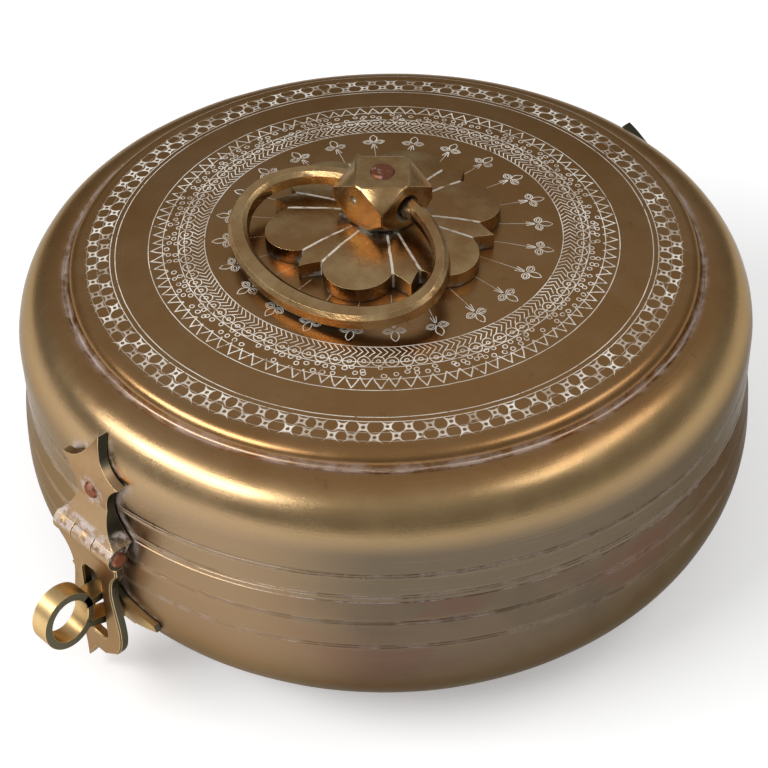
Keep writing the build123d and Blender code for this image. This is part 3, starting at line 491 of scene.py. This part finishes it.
# ---- the engraving on the lid: radii and lengths in millimetres -------------------------------
STROKE = 0.20                                        # width of a graver's line
RING_LINES = (57.4, 63.9, 65.9, 70.9, 75.5, 86.2, 87.9)
FAINT_RING_LINES, FAINT_SHARE = (92.1, 95.4), 0.4
ROPE_RADIUS, ROPE_HALF, ROPE_COUNT, ROPE_LEAN = 59.6, 1.9, 200, 0.95
EYE_RADIUS, EYE_COUNT, EYE_RING, EYE_DOT = 63.6, 92, 1.95, 0.62
SEED_ROWS = ((66.9, 150, 0.72, 3.0), (69.0, 138, 0.72, 7.0))     # radius, count, ring, seed
SEEDS_LEFT_OUT = 0.18                                # share of each row
TOOTH_IN, TOOTH_OUT, TOOTH_COUNT = 70.2, 74.4, 102
STAR_ROWS = ((90.0, 88, 0.0), (93.7, 88, 0.5))       # radius, count, phase
STAR_REACH, STAR_CURVE, STAR_BODY, STAR_HOLE = 3.9, 0.42, 1.0, 0.55
FLOWER_COUNT, FLOWER_RADIUS, FLOWER_PHASE = 24, 50.0, 0.15
SIDE_PETAL_ANGLE, TASSEL_SPREAD = 78, 0.28
TASSEL_FOOT, STEM_TOP, STEM_FOOT = -3.6, -3.2, -16.0     # from the flower's heart inwards
HAND_SHAKE, RING_SHAKE, HAND_SLIP = 0.9, 0.3, 0.0026     # the last as a share of a turn
NOTCH_COUNT, PETAL_RAY_ANGLE = 6, 8.0                # of the rosette's line pairs
PETAL_RAY_START, PETAL_RAY_END, PETAL_RAY_WIDTH = 12.5, 31.0, 0.62


def cells(sums, turn, radius, count, phase=0.0):
    """Splits a ring into cells: millimetres across from a cell's middle, and the cell's number."""
    along = sums.add(sums.mul(turn, count), phase)
    across = sums.mul(sums.sub(sums.math("FRACT", along), 0.5), 2 * math.pi * radius / count)
    return across, sums.math("FLOOR", along)


def petal(sums, across, outward, angle, start, long, wide):
    """Outline of a petal of two arcs that meet in a point, at an angle from straight out."""
    turn = math.radians(angle)
    along = sums.add(sums.mul(outward, math.cos(turn)), sums.mul(across, math.sin(turn)))
    side = sums.sub(sums.mul(across, math.cos(turn)), sums.mul(outward, math.sin(turn)))
    share = sums.mul(sums.sub(along, start + long / 2), 2 / long)
    width = sums.mul(sums.sub(1.0, sums.mul(share, share)), wide)
    outline = sums.line(sums.sub(sums.size(side), width), STROKE)
    return sums.mul(outline, sums.between(share, -1.0, 1.0, 0.1))


def ring_lines(sums, radius, rings):
    """Thin lines right round the lid."""
    return sums.union(sums.line(sums.sub(radius, ring), STROKE * 0.8) for ring in rings)


def rope_band(sums, radius, turn):
    """Nested chevrons, two strokes each, that meet half way across the band."""
    side = sums.size(sums.sub(radius, ROPE_RADIUS))
    slant = sums.add(turn, sums.mul(side, ROPE_LEAN / (2 * math.pi * ROPE_RADIUS)))
    across, _ = cells(sums, slant, ROPE_RADIUS, ROPE_COUNT)
    inside = sums.ramp(side, ROPE_HALF, ROPE_HALF + 0.15, 1.0, 0.0)
    return sums.mul(sums.line(across, STROKE * 1.6), inside)


def eye_band(sums, radius, turn):
    """Rings that touch, each with a small ring in it."""
    across, number = cells(sums, turn, EYE_RADIUS, EYE_COUNT)
    outward = sums.add(sums.sub(radius, EYE_RADIUS), sums.jitter(number, 1.0, 0.5))
    middle = sums.length(sums.add(across, sums.jitter(number, 2.0, 0.4)), outward)
    return sums.union(sums.line(sums.sub(middle, size), STROKE) for size in (EYE_RING, EYE_DOT))


def seed_band(sums, radius, turn, row, count, ring, seed):
    """A scattered row of small rings, some of them left out."""
    across, number = cells(sums, turn, row, count)
    outward = sums.add(sums.sub(radius, row), sums.jitter(number, seed, 1.5))
    middle = sums.length(sums.add(across, sums.jitter(number, seed + 1.0, 1.0)), outward)
    there = sums.math("GREATER_THAN", sums.random(number, seed + 2.0), SEEDS_LEFT_OUT)
    return sums.mul(sums.line(sums.sub(middle, ring), STROKE), there)


def tooth_band(sums, radius, turn):
    """Two strokes to a tooth, open inwards."""
    across, number = cells(sums, turn, TOOTH_OUT, TOOTH_COUNT)
    slope = (TOOTH_OUT - TOOTH_IN) / (math.pi * TOOTH_OUT / TOOTH_COUNT)
    apex = sums.add(TOOTH_OUT, sums.jitter(number, 5.0, 1.1))
    leg = sums.mul(sums.size(sums.add(across, sums.jitter(number, 6.0, 0.7))), slope)
    edge = sums.sub(sums.sub(apex, leg), radius)
    stroke = sums.line(sums.mul(edge, 0.36), STROKE)
    return sums.mul(stroke, sums.between(radius, TOOTH_IN, TOOTH_OUT + 0.4))


def star_band(sums, radius, turn, row, count, phase):
    """Stars of four hollow-sided rays that point to the stars of the next row, a pip in each."""
    across, number = cells(sums, turn, row, count, phase)
    outward = sums.add(sums.sub(radius, row), sums.jitter(number, row, 0.6))
    across = sums.add(across, sums.jitter(number, row + 1.0, 1.3))
    diagonal = math.sqrt(0.5) / STAR_REACH
    rays = [sums.math("POWER", sums.mul(sums.size(part), diagonal), STAR_CURVE)
            for part in (sums.add(across, outward), sums.sub(across, outward))]
    middle = sums.length(across, outward)
    body = sums.ramp(middle, STAR_BODY, STAR_BODY + 0.2, 1.0, 0.0)
    star = sums.most(sums.ramp(sums.add(rays[0], rays[1]), 0.98, 1.1, 1.0, 0.0), body)
    pip = sums.ramp(middle, STAR_HOLE, STAR_HOLE + 0.15)
    faint = sums.ramp(sums.random(number, row + 2.0), 0.0, 0.6, 0.55, 1.0)
    return sums.mul(sums.mul(star, pip), faint)


def flower_lines(sums, radius, turn):
    """Trefoils: a pointed petal outwards, a curled one each side, a tassel and a long stem."""
    across, number = cells(sums, turn, FLOWER_RADIUS, FLOWER_COUNT, FLOWER_PHASE)
    outward = sums.sub(sums.sub(radius, FLOWER_RADIUS), sums.jitter(number, 8.0, 1.0))
    yield petal(sums, across, outward, 0, 0.4, 4.6, 1.15)
    for angle in (-SIDE_PETAL_ANGLE, SIDE_PETAL_ANGLE):
        yield petal(sums, across, outward, angle, 0.3, 3.4, 1.2)
        yield petal(sums, across, outward, angle, 0.9, 2.3, 0.55)
    tassel = sums.between(outward, TASSEL_FOOT, -1.0)
    for side in (-TASSEL_SPREAD, 0.0, TASSEL_SPREAD):
        yield sums.mul(sums.line(sums.sub(across, sums.mul(outward, side)), STROKE), tassel)
    stem = sums.between(outward, STEM_FOOT, STEM_TOP)
    yield sums.mul(sums.mul(sums.line(across, STROKE * 0.6), stem), 0.7)


def engraving(metal):
    """How much of the lid's top is cut by the graver, from 0 to 1, by an unsteady hand."""
    sums = metal.sums
    shake = sums.sub(sums.noise(metal.where, 200, 3.0), 0.5)
    slip = sums.sub(sums.noise(sums.stretch(metal.where, (1, 1, 2)), 150, 3.0), 0.5)
    radius = sums.add(metal.radius, sums.mul(shake, HAND_SHAKE))
    turn = sums.add(metal.turn, sums.mul(slip, HAND_SLIP))

    def bands():
        steady = sums.add(metal.radius, sums.mul(shake, RING_SHAKE))
        yield ring_lines(sums, steady, RING_LINES)
        yield sums.mul(ring_lines(sums, steady, FAINT_RING_LINES), FAINT_SHARE)
        for band in (rope_band, eye_band, tooth_band):
            yield band(sums, radius, turn)
        for row in SEED_ROWS:
            yield seed_band(sums, radius, turn, *row)
        for row in STAR_ROWS:
            yield star_band(sums, radius, turn, *row)
        yield from flower_lines(sums, radius, turn)

    outside = sums.ramp(sums.split(metal.facing)[2], 0.2, 0.5)
    on_top = sums.ramp(metal.z, STEP_HEIGHT + 1.0, STEP_HEIGHT + 2.5)
    return sums.mul(sums.union(bands()), sums.mul(on_top, outside))


def rosette_rays(metal):
    """Pairs of scraped lines from the knob's foot to the rosette's notches."""
    sums = metal.sums
    across, _ = cells(sums, sums.add(metal.turn, 0.25), 1.0, NOTCH_COUNT, 0.5)
    degrees = sums.mul(sums.size(across), 180 / math.pi)
    off = sums.mul(sums.mul(sums.sub(degrees, PETAL_RAY_ANGLE), math.pi / 180), metal.radius)
    wobble = sums.mul(sums.sub(sums.noise(metal.where, 220, 3.0), 0.5), 0.7)
    ray = sums.line(sums.add(off, wobble), PETAL_RAY_WIDTH, 0.2)
    return sums.mul(ray, sums.between(metal.radius, PETAL_RAY_START, PETAL_RAY_END))


# ---- materials --------------------------------------------------------------------------------
def near_node(metal, node, reach):
    """1 near a node's middle as seen from the front or the back, 0 further off."""
    low, high = (Vector(corner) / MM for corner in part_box(node))
    middle = (low + high) / 2
    sums = metal.sums
    away = sums.length(sums.sub(metal.x, middle.x), sums.sub(metal.z, middle.z))
    return sums.ramp(away, reach * 0.5, reach, 1.0, 0.0)


def lid_material():
    """Olive brass on the top, golden on the shoulder as rubbed brass and painted highlight, dull
    brown down the skirt.
    """
    metal = Metal("lid_brass", OLIVE_BRASS, 0.27)
    sums = metal.sums
    metal.wear(0.30, TAN_BRASS)
    metal.spots(0.35)
    # gold on the shoulder: partly rubbed brass, partly a painted highlight
    metal.tint(sums.ramp(metal.z, 102.0, 97.0, 0.0, 0.60), GOLD_BRASS)
    metal.tint(sums.ramp(metal.z, 93.0, 82.0, 0.0, 0.90), DULL_BROWN)
    # walls painted lighter on the hasp's side as painted light
    painted_light_on_hasp_side(metal)
    metal.turning(0.22, GOLD_BRASS)
    # corners darkened with green-black patina and painted shade; pale crust lies beside them
    beside = beside_corners(metal, metal.patina_and_shade_in_hollows(4.0, 0.75, GREEN_BLACK_PATINA_AND_SHADE), 0.40, 0.58)
    metal.deposit(sums.mul(beside, sums.ramp(metal.z, 108.0, 99.0)), PINK_WHITE, 0.0)
    metal.deposit(sums.mul(crease_scuffs(metal), 0.75), PINK_WHITE, 0.0)
    fill = sums.mul(engraving(metal), sums.patch(metal.where, 380, 0.22, 0.46, 3.0))
    patchy = sums.ramp(sums.noise(metal.where, 60, 3.0), 0.35, 0.6, 0.7, 1.0)
    metal.deposit(sums.mul(fill, patchy), CHALK, 0.0)
    scratches(metal, LID_LINES)
    return metal.finish(coat=0.2)


def beside_corners(metal, deep, start, end):
    """Irregular patches beside the corners, but not deep in them."""
    sums = metal.sums
    rim = sums.between(deep, 0.10, 0.55, 0.10)
    return sums.mul(rim, sums.patch(metal.where, 110, start, end, 5.0, 0.7))


def crease_scuffs(metal):
    """Broken streaks along the crease round the lid's top."""
    sums = metal.sums
    crease = sums.line(sums.sub(metal.radius, DISC_RADIUS + 0.9), 0.5, 1.0)
    along = sums.vector(sums.mul(metal.radius, 1.5), sums.mul(metal.turn, 60.0), metal.z)
    scuff = sums.mul(sums.ramp(sums.noise(along, 1.0, 5.0, 0.7), 0.42, 0.68), crease)
    return sums.mul(scuff, sums.ramp(metal.z, 99.5, 101.0))


def painted_light_on_hasp_side(metal):
    """The walls are painted lighter on the hasp's side, as painted light."""
    sums = metal.sums
    front = sums.ramp(metal.y, -0.68 * BOWL_RADIUS, -0.93 * BOWL_RADIUS)
    wall = sums.ramp(metal.radius, 0.88 * BOWL_RADIUS, 0.96 * BOWL_RADIUS)
    metal.tint(sums.mul(sums.mul(front, wall), 0.62), TAN_BRASS)


def scratches(metal, heights):
    """Broken lighter lines that run beside each turned pair."""
    sums = metal.sums
    streak = sums.vector(sums.mul(metal.z, 9.0), sums.mul(metal.turn, 26.0), 0.0)
    broken = sums.ramp(sums.noise(streak, 1.0, 4.0, 0.7), 0.52, 0.60)
    for height in heights:
        band = sums.line(sums.sub(metal.z, height), 1.6, 1.4)
        metal.deposit(sums.mul(sums.mul(broken, band), 0.35), TAN_BRASS, 0.0)


def bowl_material():
    """Dull brown brass with a reddish blush, painted lighter at the front as painted light."""
    metal = Metal("bowl_brass", DULL_BROWN, 0.33)
    sums = metal.sums
    metal.wear(0.12, TAN_BRASS)
    blush = sums.patch(sums.stretch(metal.where, (1, 1, 2.2)), 22, 0.42, 0.66, 3.0)
    metal.tint(sums.mul(blush, 0.75), RED_BROWN)
    metal.spots(0.40)
    # walls painted lighter on the hasp's side as painted light
    painted_light_on_hasp_side(metal)
    metal.turning(0.12, TAN_BRASS)
    # corners darkened with green-black patina and painted shade; pale crust lies beside them
    beside = beside_corners(metal, metal.patina_and_shade_in_hollows(4.0, 0.75, GREEN_BLACK_PATINA_AND_SHADE), 0.44, 0.60)
    metal.deposit(sums.mul(beside, sums.ramp(metal.z, 6.0, 20.0)), PINK_WHITE)
    scratches(metal, BOWL_LINES)
    return metal.finish(coat=0.0)


def plate_material(name, rivet=None, pin=None, face=TAN_BRASS):
    """Cast plates: brass faces, sides painted green-black as painted shade, pale crust round the
    rivet and barrel.
    """
    metal = Metal(name, face, 0.36)
    sums = metal.sums
    metal.wear(0.45, OLIVE_BRASS)
    metal.spots(0.5)
    # faces that look sideways are painted dark green-black as painted shade
    sideways = sums.size(sums.split(metal.facing)[0])
    metal.tint(sums.mul(sums.ramp(sideways, 0.45, 0.75), 0.92), GREEN_BLACK_PATINA_AND_SHADE)
    # corners darkened with green-black patina and painted shade
    metal.patina_and_shade_in_hollows(3.0, 0.85, GREEN_BLACK_PATINA_AND_SHADE)
    crust = sums.patch(metal.where, 300, 0.42, 0.60, 6.0, 0.75)
    if rivet:
        metal.deposit(sums.mul(near_node(metal, rivet, 6.2), crust), PINK_WHITE)
    if pin:
        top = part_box(pin)[1][2] / MM
        over_barrel = sums.between(metal.z, top - 1.0, top + 3.5, 1.5)
        metal.deposit(sums.mul(over_barrel, crust), PINK_WHITE)
    return metal.finish(0.22, 0.15)


def edge_material():
    """Edges rubbed bright, with dark patina and painted shade where they lie in a corner."""
    metal = Metal("worn_edges", BRIGHT_EDGE, 0.30)
    metal.wear(0.5, GOLD_BRASS)
    metal.spots(0.5, OLIVE_BRASS)
    metal.patina_and_shade_in_hollows(3.0, 0.9, GREEN_BLACK_PATINA_AND_SHADE)
    return metal.finish(0.16, 0.2)


def raised_material(name, rays=False):
    """The knob, bail and rosette: golden brown, file marks, greenish crust in the corners."""
    metal = Metal(name, OLIVE_BRASS, 0.27)
    sums = metal.sums
    metal.wear(1.0, GOLD_BRASS)
    metal.spots(0.35)
    filed = sums.noise(sums.stretch(metal.where, (0.25, 1.0, 1.6)), 700, 2.0, 0.7)
    metal.height = sums.add(metal.height, sums.mul(filed, 0.35))
    # corners darkened with dark patina and painted shade
    deep = metal.patina_and_shade_in_hollows(5.0, 0.9, DARK_PATINA_AND_SHADE)
    crust = sums.mul(sums.ramp(deep, 0.35, 0.8), sums.patch(metal.where, 170, 0.46, 0.62, 5.0, 0.7))
    metal.deposit(sums.mul(crust, 0.8), GREEN_WHITE)
    if rays:
        scraped = sums.mul(rosette_rays(metal), sums.patch(metal.where, 260, 0.30, 0.50, 4.0))
        metal.deposit(sums.mul(scraped, 0.75), CHALK, -0.6)
    return metal.finish(0.18, 0.3)


def copper_material():
    """Rivets and pins: dull copper with dark and pale crusts."""
    metal = Metal("copper", COPPER, 0.42)
    sums = metal.sums
    metal.spots(0.8, DARK_PATINA_AND_SHADE, 420)
    # corners darkened with green-black patina and painted shade
    metal.patina_and_shade_in_hollows(2.0, 0.8, GREEN_BLACK_PATINA_AND_SHADE)
    metal.deposit(sums.mul(sums.patch(metal.where, 520, 0.54, 0.66, 5.0, 0.7), 0.7), PINK_WHITE)
    return metal.finish(0.3, 0.0)


def inside_material(name, wear):
    """Collar, tray and cups: cleaner brass, kept from the air."""
    metal = Metal(name, OLIVE_BRASS, 0.34)
    metal.wear(wear, CLEAN_BRASS)
    metal.spots(0.3)
    metal.turning(0.3, CLEAN_BRASS)
    # corners darkened with dark patina and painted shade
    metal.patina_and_shade_in_hollows(5.0, 0.7, DARK_PATINA_AND_SHADE)
    return metal.finish()


lid_brass, bowl_brass = lid_material(), bowl_material()
hasp_brass = plate_material("hasp_brass", "hasp_plate_rivet", "hasp_pin")
hinge_brass = plate_material("hinge_brass", "hinge_lid_rivet", "hinge_pin")
# the staple's faces are painted bright, partly as rubbed brass and partly as a painted highlight
staple_brass = plate_material("staple_brass", face=BRIGHT_EDGE)
knob_brass, rosette_brass = raised_material("knob_brass"), raised_material("rosette_brass", True)
edge_brass, copper = edge_material(), copper_material()
inside_brass, cup_brass = inside_material("inside_brass", 0.8), inside_material("cup_brass", 0.95)


def dress(obj, materials, slot, body, *nodes):
    """Gives a piece its materials and the body it rides on; its record slot is not used."""
    obj.data.materials.clear()
    for material in materials:
        obj.data.materials.append(material)
    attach(obj, body)
    if nodes:
        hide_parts(*nodes)


def paint(node, material):
    """Gives a CAD node a material and leaves its shape alone."""
    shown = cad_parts[node]
    if not shown.data.materials:
        shown.data.materials.append(material)
    for number in range(len(shown.data.materials)):
        shown.data.materials[number] = material


# ---- the box ----------------------------------------------------------------------------------
dress(lathe("bowl_turned", bowl_profile()), [bowl_brass], "bowl_brass", "base", "base_bowl")
dress(lathe("lid_turned", lid_profile()), [lid_brass], "lid_brass", "lid", "lid_shell")

WORN_FITTINGS = (                # node, body, record slot, material, width of its worn edges
    ("knob", "lid", "lid_brass", knob_brass, 0.45),
    ("rosette_plate", "lid", "lid_brass", rosette_brass, 0.6),
    ("bail", "bail", "lid_brass", knob_brass, 0.5),
    ("hasp_plate", "lid", "fittings", hasp_brass, 0.35),
    ("hasp_leaf", "hasp", "fittings", hasp_brass, 0.35),
    ("hinge_lid_leaf", "lid", "fittings", hinge_brass, 0.35),
    ("hinge_base_leaf", "base", "fittings", hinge_brass, 0.35),
    ("staple", "base", "fittings", staple_brass, STAPLE_WEAR),
    ("staple_plate", "base", "fittings", staple_brass, 0.3),
)
for node, body, slot, material, width in WORN_FITTINGS:
    dress(rounded_copy(node, width), [material, edge_brass], slot, body, node)
dress(ring_closure(), [staple_brass, edge_brass], "fittings", "base")

for node in ("knob_rivet", "hasp_plate_rivet", "hinge_lid_rivet", "hinge_base_rivet", "hasp_pin",
             "hinge_pin"):
    paint(node, copper)
for node in ("rim_collar", "leaf_tray", "knob_rove"):
    paint(node, inside_brass)
for node in ["katori_centre"] + [f"katori_{number}" for number in range(1, 7)]:
    paint(node, cup_brass)


# ---- floor, light and camera: metres, watts and degrees ---------------------------------------
FLOOR_HALF, FLOOR_DROP, FLOOR_GREY, FLOOR_GLOW = 4.0, 0.0002, 0.86, 0.32
ROOM_LOW, ROOM_HIGH = (0.30, 0.34), (0.80, 0.68)     # height on the sky's ball, strength
SOFTBOX_DISTANCE, SOFTBOX_AIM = 1.6, Vector((0, 0, 0.09))
SOFTBOXES = (                    # name, azimuth, elevation, width, height, power
    ("softbox_left", -18, 38, 1.35, 0.48, 19.0),
    ("softbox_right", 126, 53, 1.3, 0.40, 5.0),
)
# The photograph's view, fitted to the lid's rings in it.
CAMERA_AZIMUTH, CAMERA_ELEVATION, CAMERA_ROLL = 47.3, 40.28, -1.26
CAMERA_DISTANCE, CAMERA_RIGHT, CAMERA_UP = 0.77006, 0.00004, -0.04670
CAMERA_TARGET = Vector((0, 0, 0.109))
CAMERA_LENS, CAMERA_SENSOR = 112.5, 36.0             # millimetres


def direction(azimuth, elevation):
    """Unit vector from the box; azimuth 0 is the hasp's side and 90 is +X."""
    turn, rise = math.radians(azimuth), math.radians(elevation)
    return Vector((math.sin(turn) * math.cos(rise), -math.cos(turn) * math.cos(rise),
                   math.sin(rise)))


def add_floor():
    """A pale floor that glows a little to the camera, in mirrors and through glass."""
    mesh = bmesh.new()
    bmesh.ops.create_grid(mesh, x_segments=1, y_segments=1, size=FLOOR_HALF)
    floor = add_mesh("floor", mesh, FITTING_SHARP)
    floor.location.z = -FLOOR_DROP
    material, sums = new_material("floor")
    plain = sums.node("ShaderNodeBsdfDiffuse")
    plain.inputs["Color"].default_value = (FLOOR_GREY, FLOOR_GREY, FLOOR_GREY, 1)
    glow = sums.node("ShaderNodeEmission")
    glow.inputs["Strength"].default_value = FLOOR_GLOW
    both = sums.node("ShaderNodeAddShader")
    sums.tree.links.new(plain.outputs[0], both.inputs[0])
    sums.tree.links.new(glow.outputs[0], both.inputs[1])
    path = sums.node("ShaderNodeLightPath").outputs
    seen = sums.most(path["Is Camera Ray"], path["Is Glossy Ray"], path["Is Transmission Ray"])
    mixer = sums.node("ShaderNodeMixShader")
    for value, socket in zip((seen, plain.outputs[0], both.outputs[0]), mixer.inputs):
        sums.tree.links.new(value, socket)
    output = sums.node("ShaderNodeOutputMaterial")
    sums.tree.links.new(mixer.outputs[0], output.inputs["Surface"])
    floor.data.materials.append(material)


def add_world():
    """A grey room that grows lighter towards its ceiling."""
    world = bpy.data.worlds.new("studio")
    world.use_nodes = True
    tree = world.node_tree
    tree.nodes.clear()
    room = tree.nodes.new("ShaderNodeBackground")
    where = tree.nodes.new("ShaderNodeTexCoord")
    parts = tree.nodes.new("ShaderNodeSeparateXYZ")
    tree.links.new(where.outputs["Generated"], parts.inputs[0])
    fade = tree.nodes.new("ShaderNodeMapRange")
    for end, (height, strength) in (("Min", ROOM_LOW), ("Max", ROOM_HIGH)):
        fade.inputs["From " + end].default_value = height
        fade.inputs["To " + end].default_value = strength
    tree.links.new(parts.outputs[2], fade.inputs["Value"])
    tree.links.new(fade.outputs[0], room.inputs["Strength"])
    output = tree.nodes.new("ShaderNodeOutputWorld")
    tree.links.new(room.outputs[0], output.inputs["Surface"])
    bpy.context.scene.world = world


def add_softbox(name, azimuth, elevation, width, height, power):
    """An area lamp that faces the box."""
    back = direction(azimuth, elevation)
    lamp = bpy.data.lights.new(name, "AREA")
    lamp.shape = "RECTANGLE"
    lamp.size, lamp.size_y, lamp.energy = width, height, power
    obj = bpy.data.objects.new(name, lamp)
    obj.location = SOFTBOX_AIM + back * SOFTBOX_DISTANCE
    obj.rotation_mode = "QUATERNION"
    obj.rotation_quaternion = (-back).to_track_quat("-Z", "Y")
    bpy.context.scene.collection.objects.link(obj)


def add_camera():
    """A camera that faces its target, rolled a little and shifted in its own plane."""
    turn, roll = math.radians(CAMERA_AZIMUTH), math.radians(CAMERA_ROLL)
    back = direction(CAMERA_AZIMUTH, CAMERA_ELEVATION)
    right = Vector((math.cos(turn), math.sin(turn), 0))
    up = back.cross(right)
    tilted_right = right * math.cos(roll) + up * math.sin(roll)
    tilted_up = up * math.cos(roll) - right * math.sin(roll)
    data = bpy.data.cameras.new("camera")
    data.lens, data.sensor_width = CAMERA_LENS, CAMERA_SENSOR
    data.clip_start, data.clip_end = 0.05, 20.0
    camera = bpy.data.objects.new("camera", data)
    place = CAMERA_TARGET + back * CAMERA_DISTANCE + tilted_right * CAMERA_RIGHT \
        + tilted_up * CAMERA_UP
    frame_matrix = Matrix((tilted_right, tilted_up, back)).transposed().to_4x4()
    camera.matrix_world = Matrix.Translation(place) @ frame_matrix
    bpy.context.scene.collection.objects.link(camera)
    bpy.context.scene.camera = camera


add_floor()
add_world()
for softbox in SOFTBOXES:
    add_softbox(*softbox)
add_camera()
bpy.context.scene.view_settings.view_transform = "Standard"
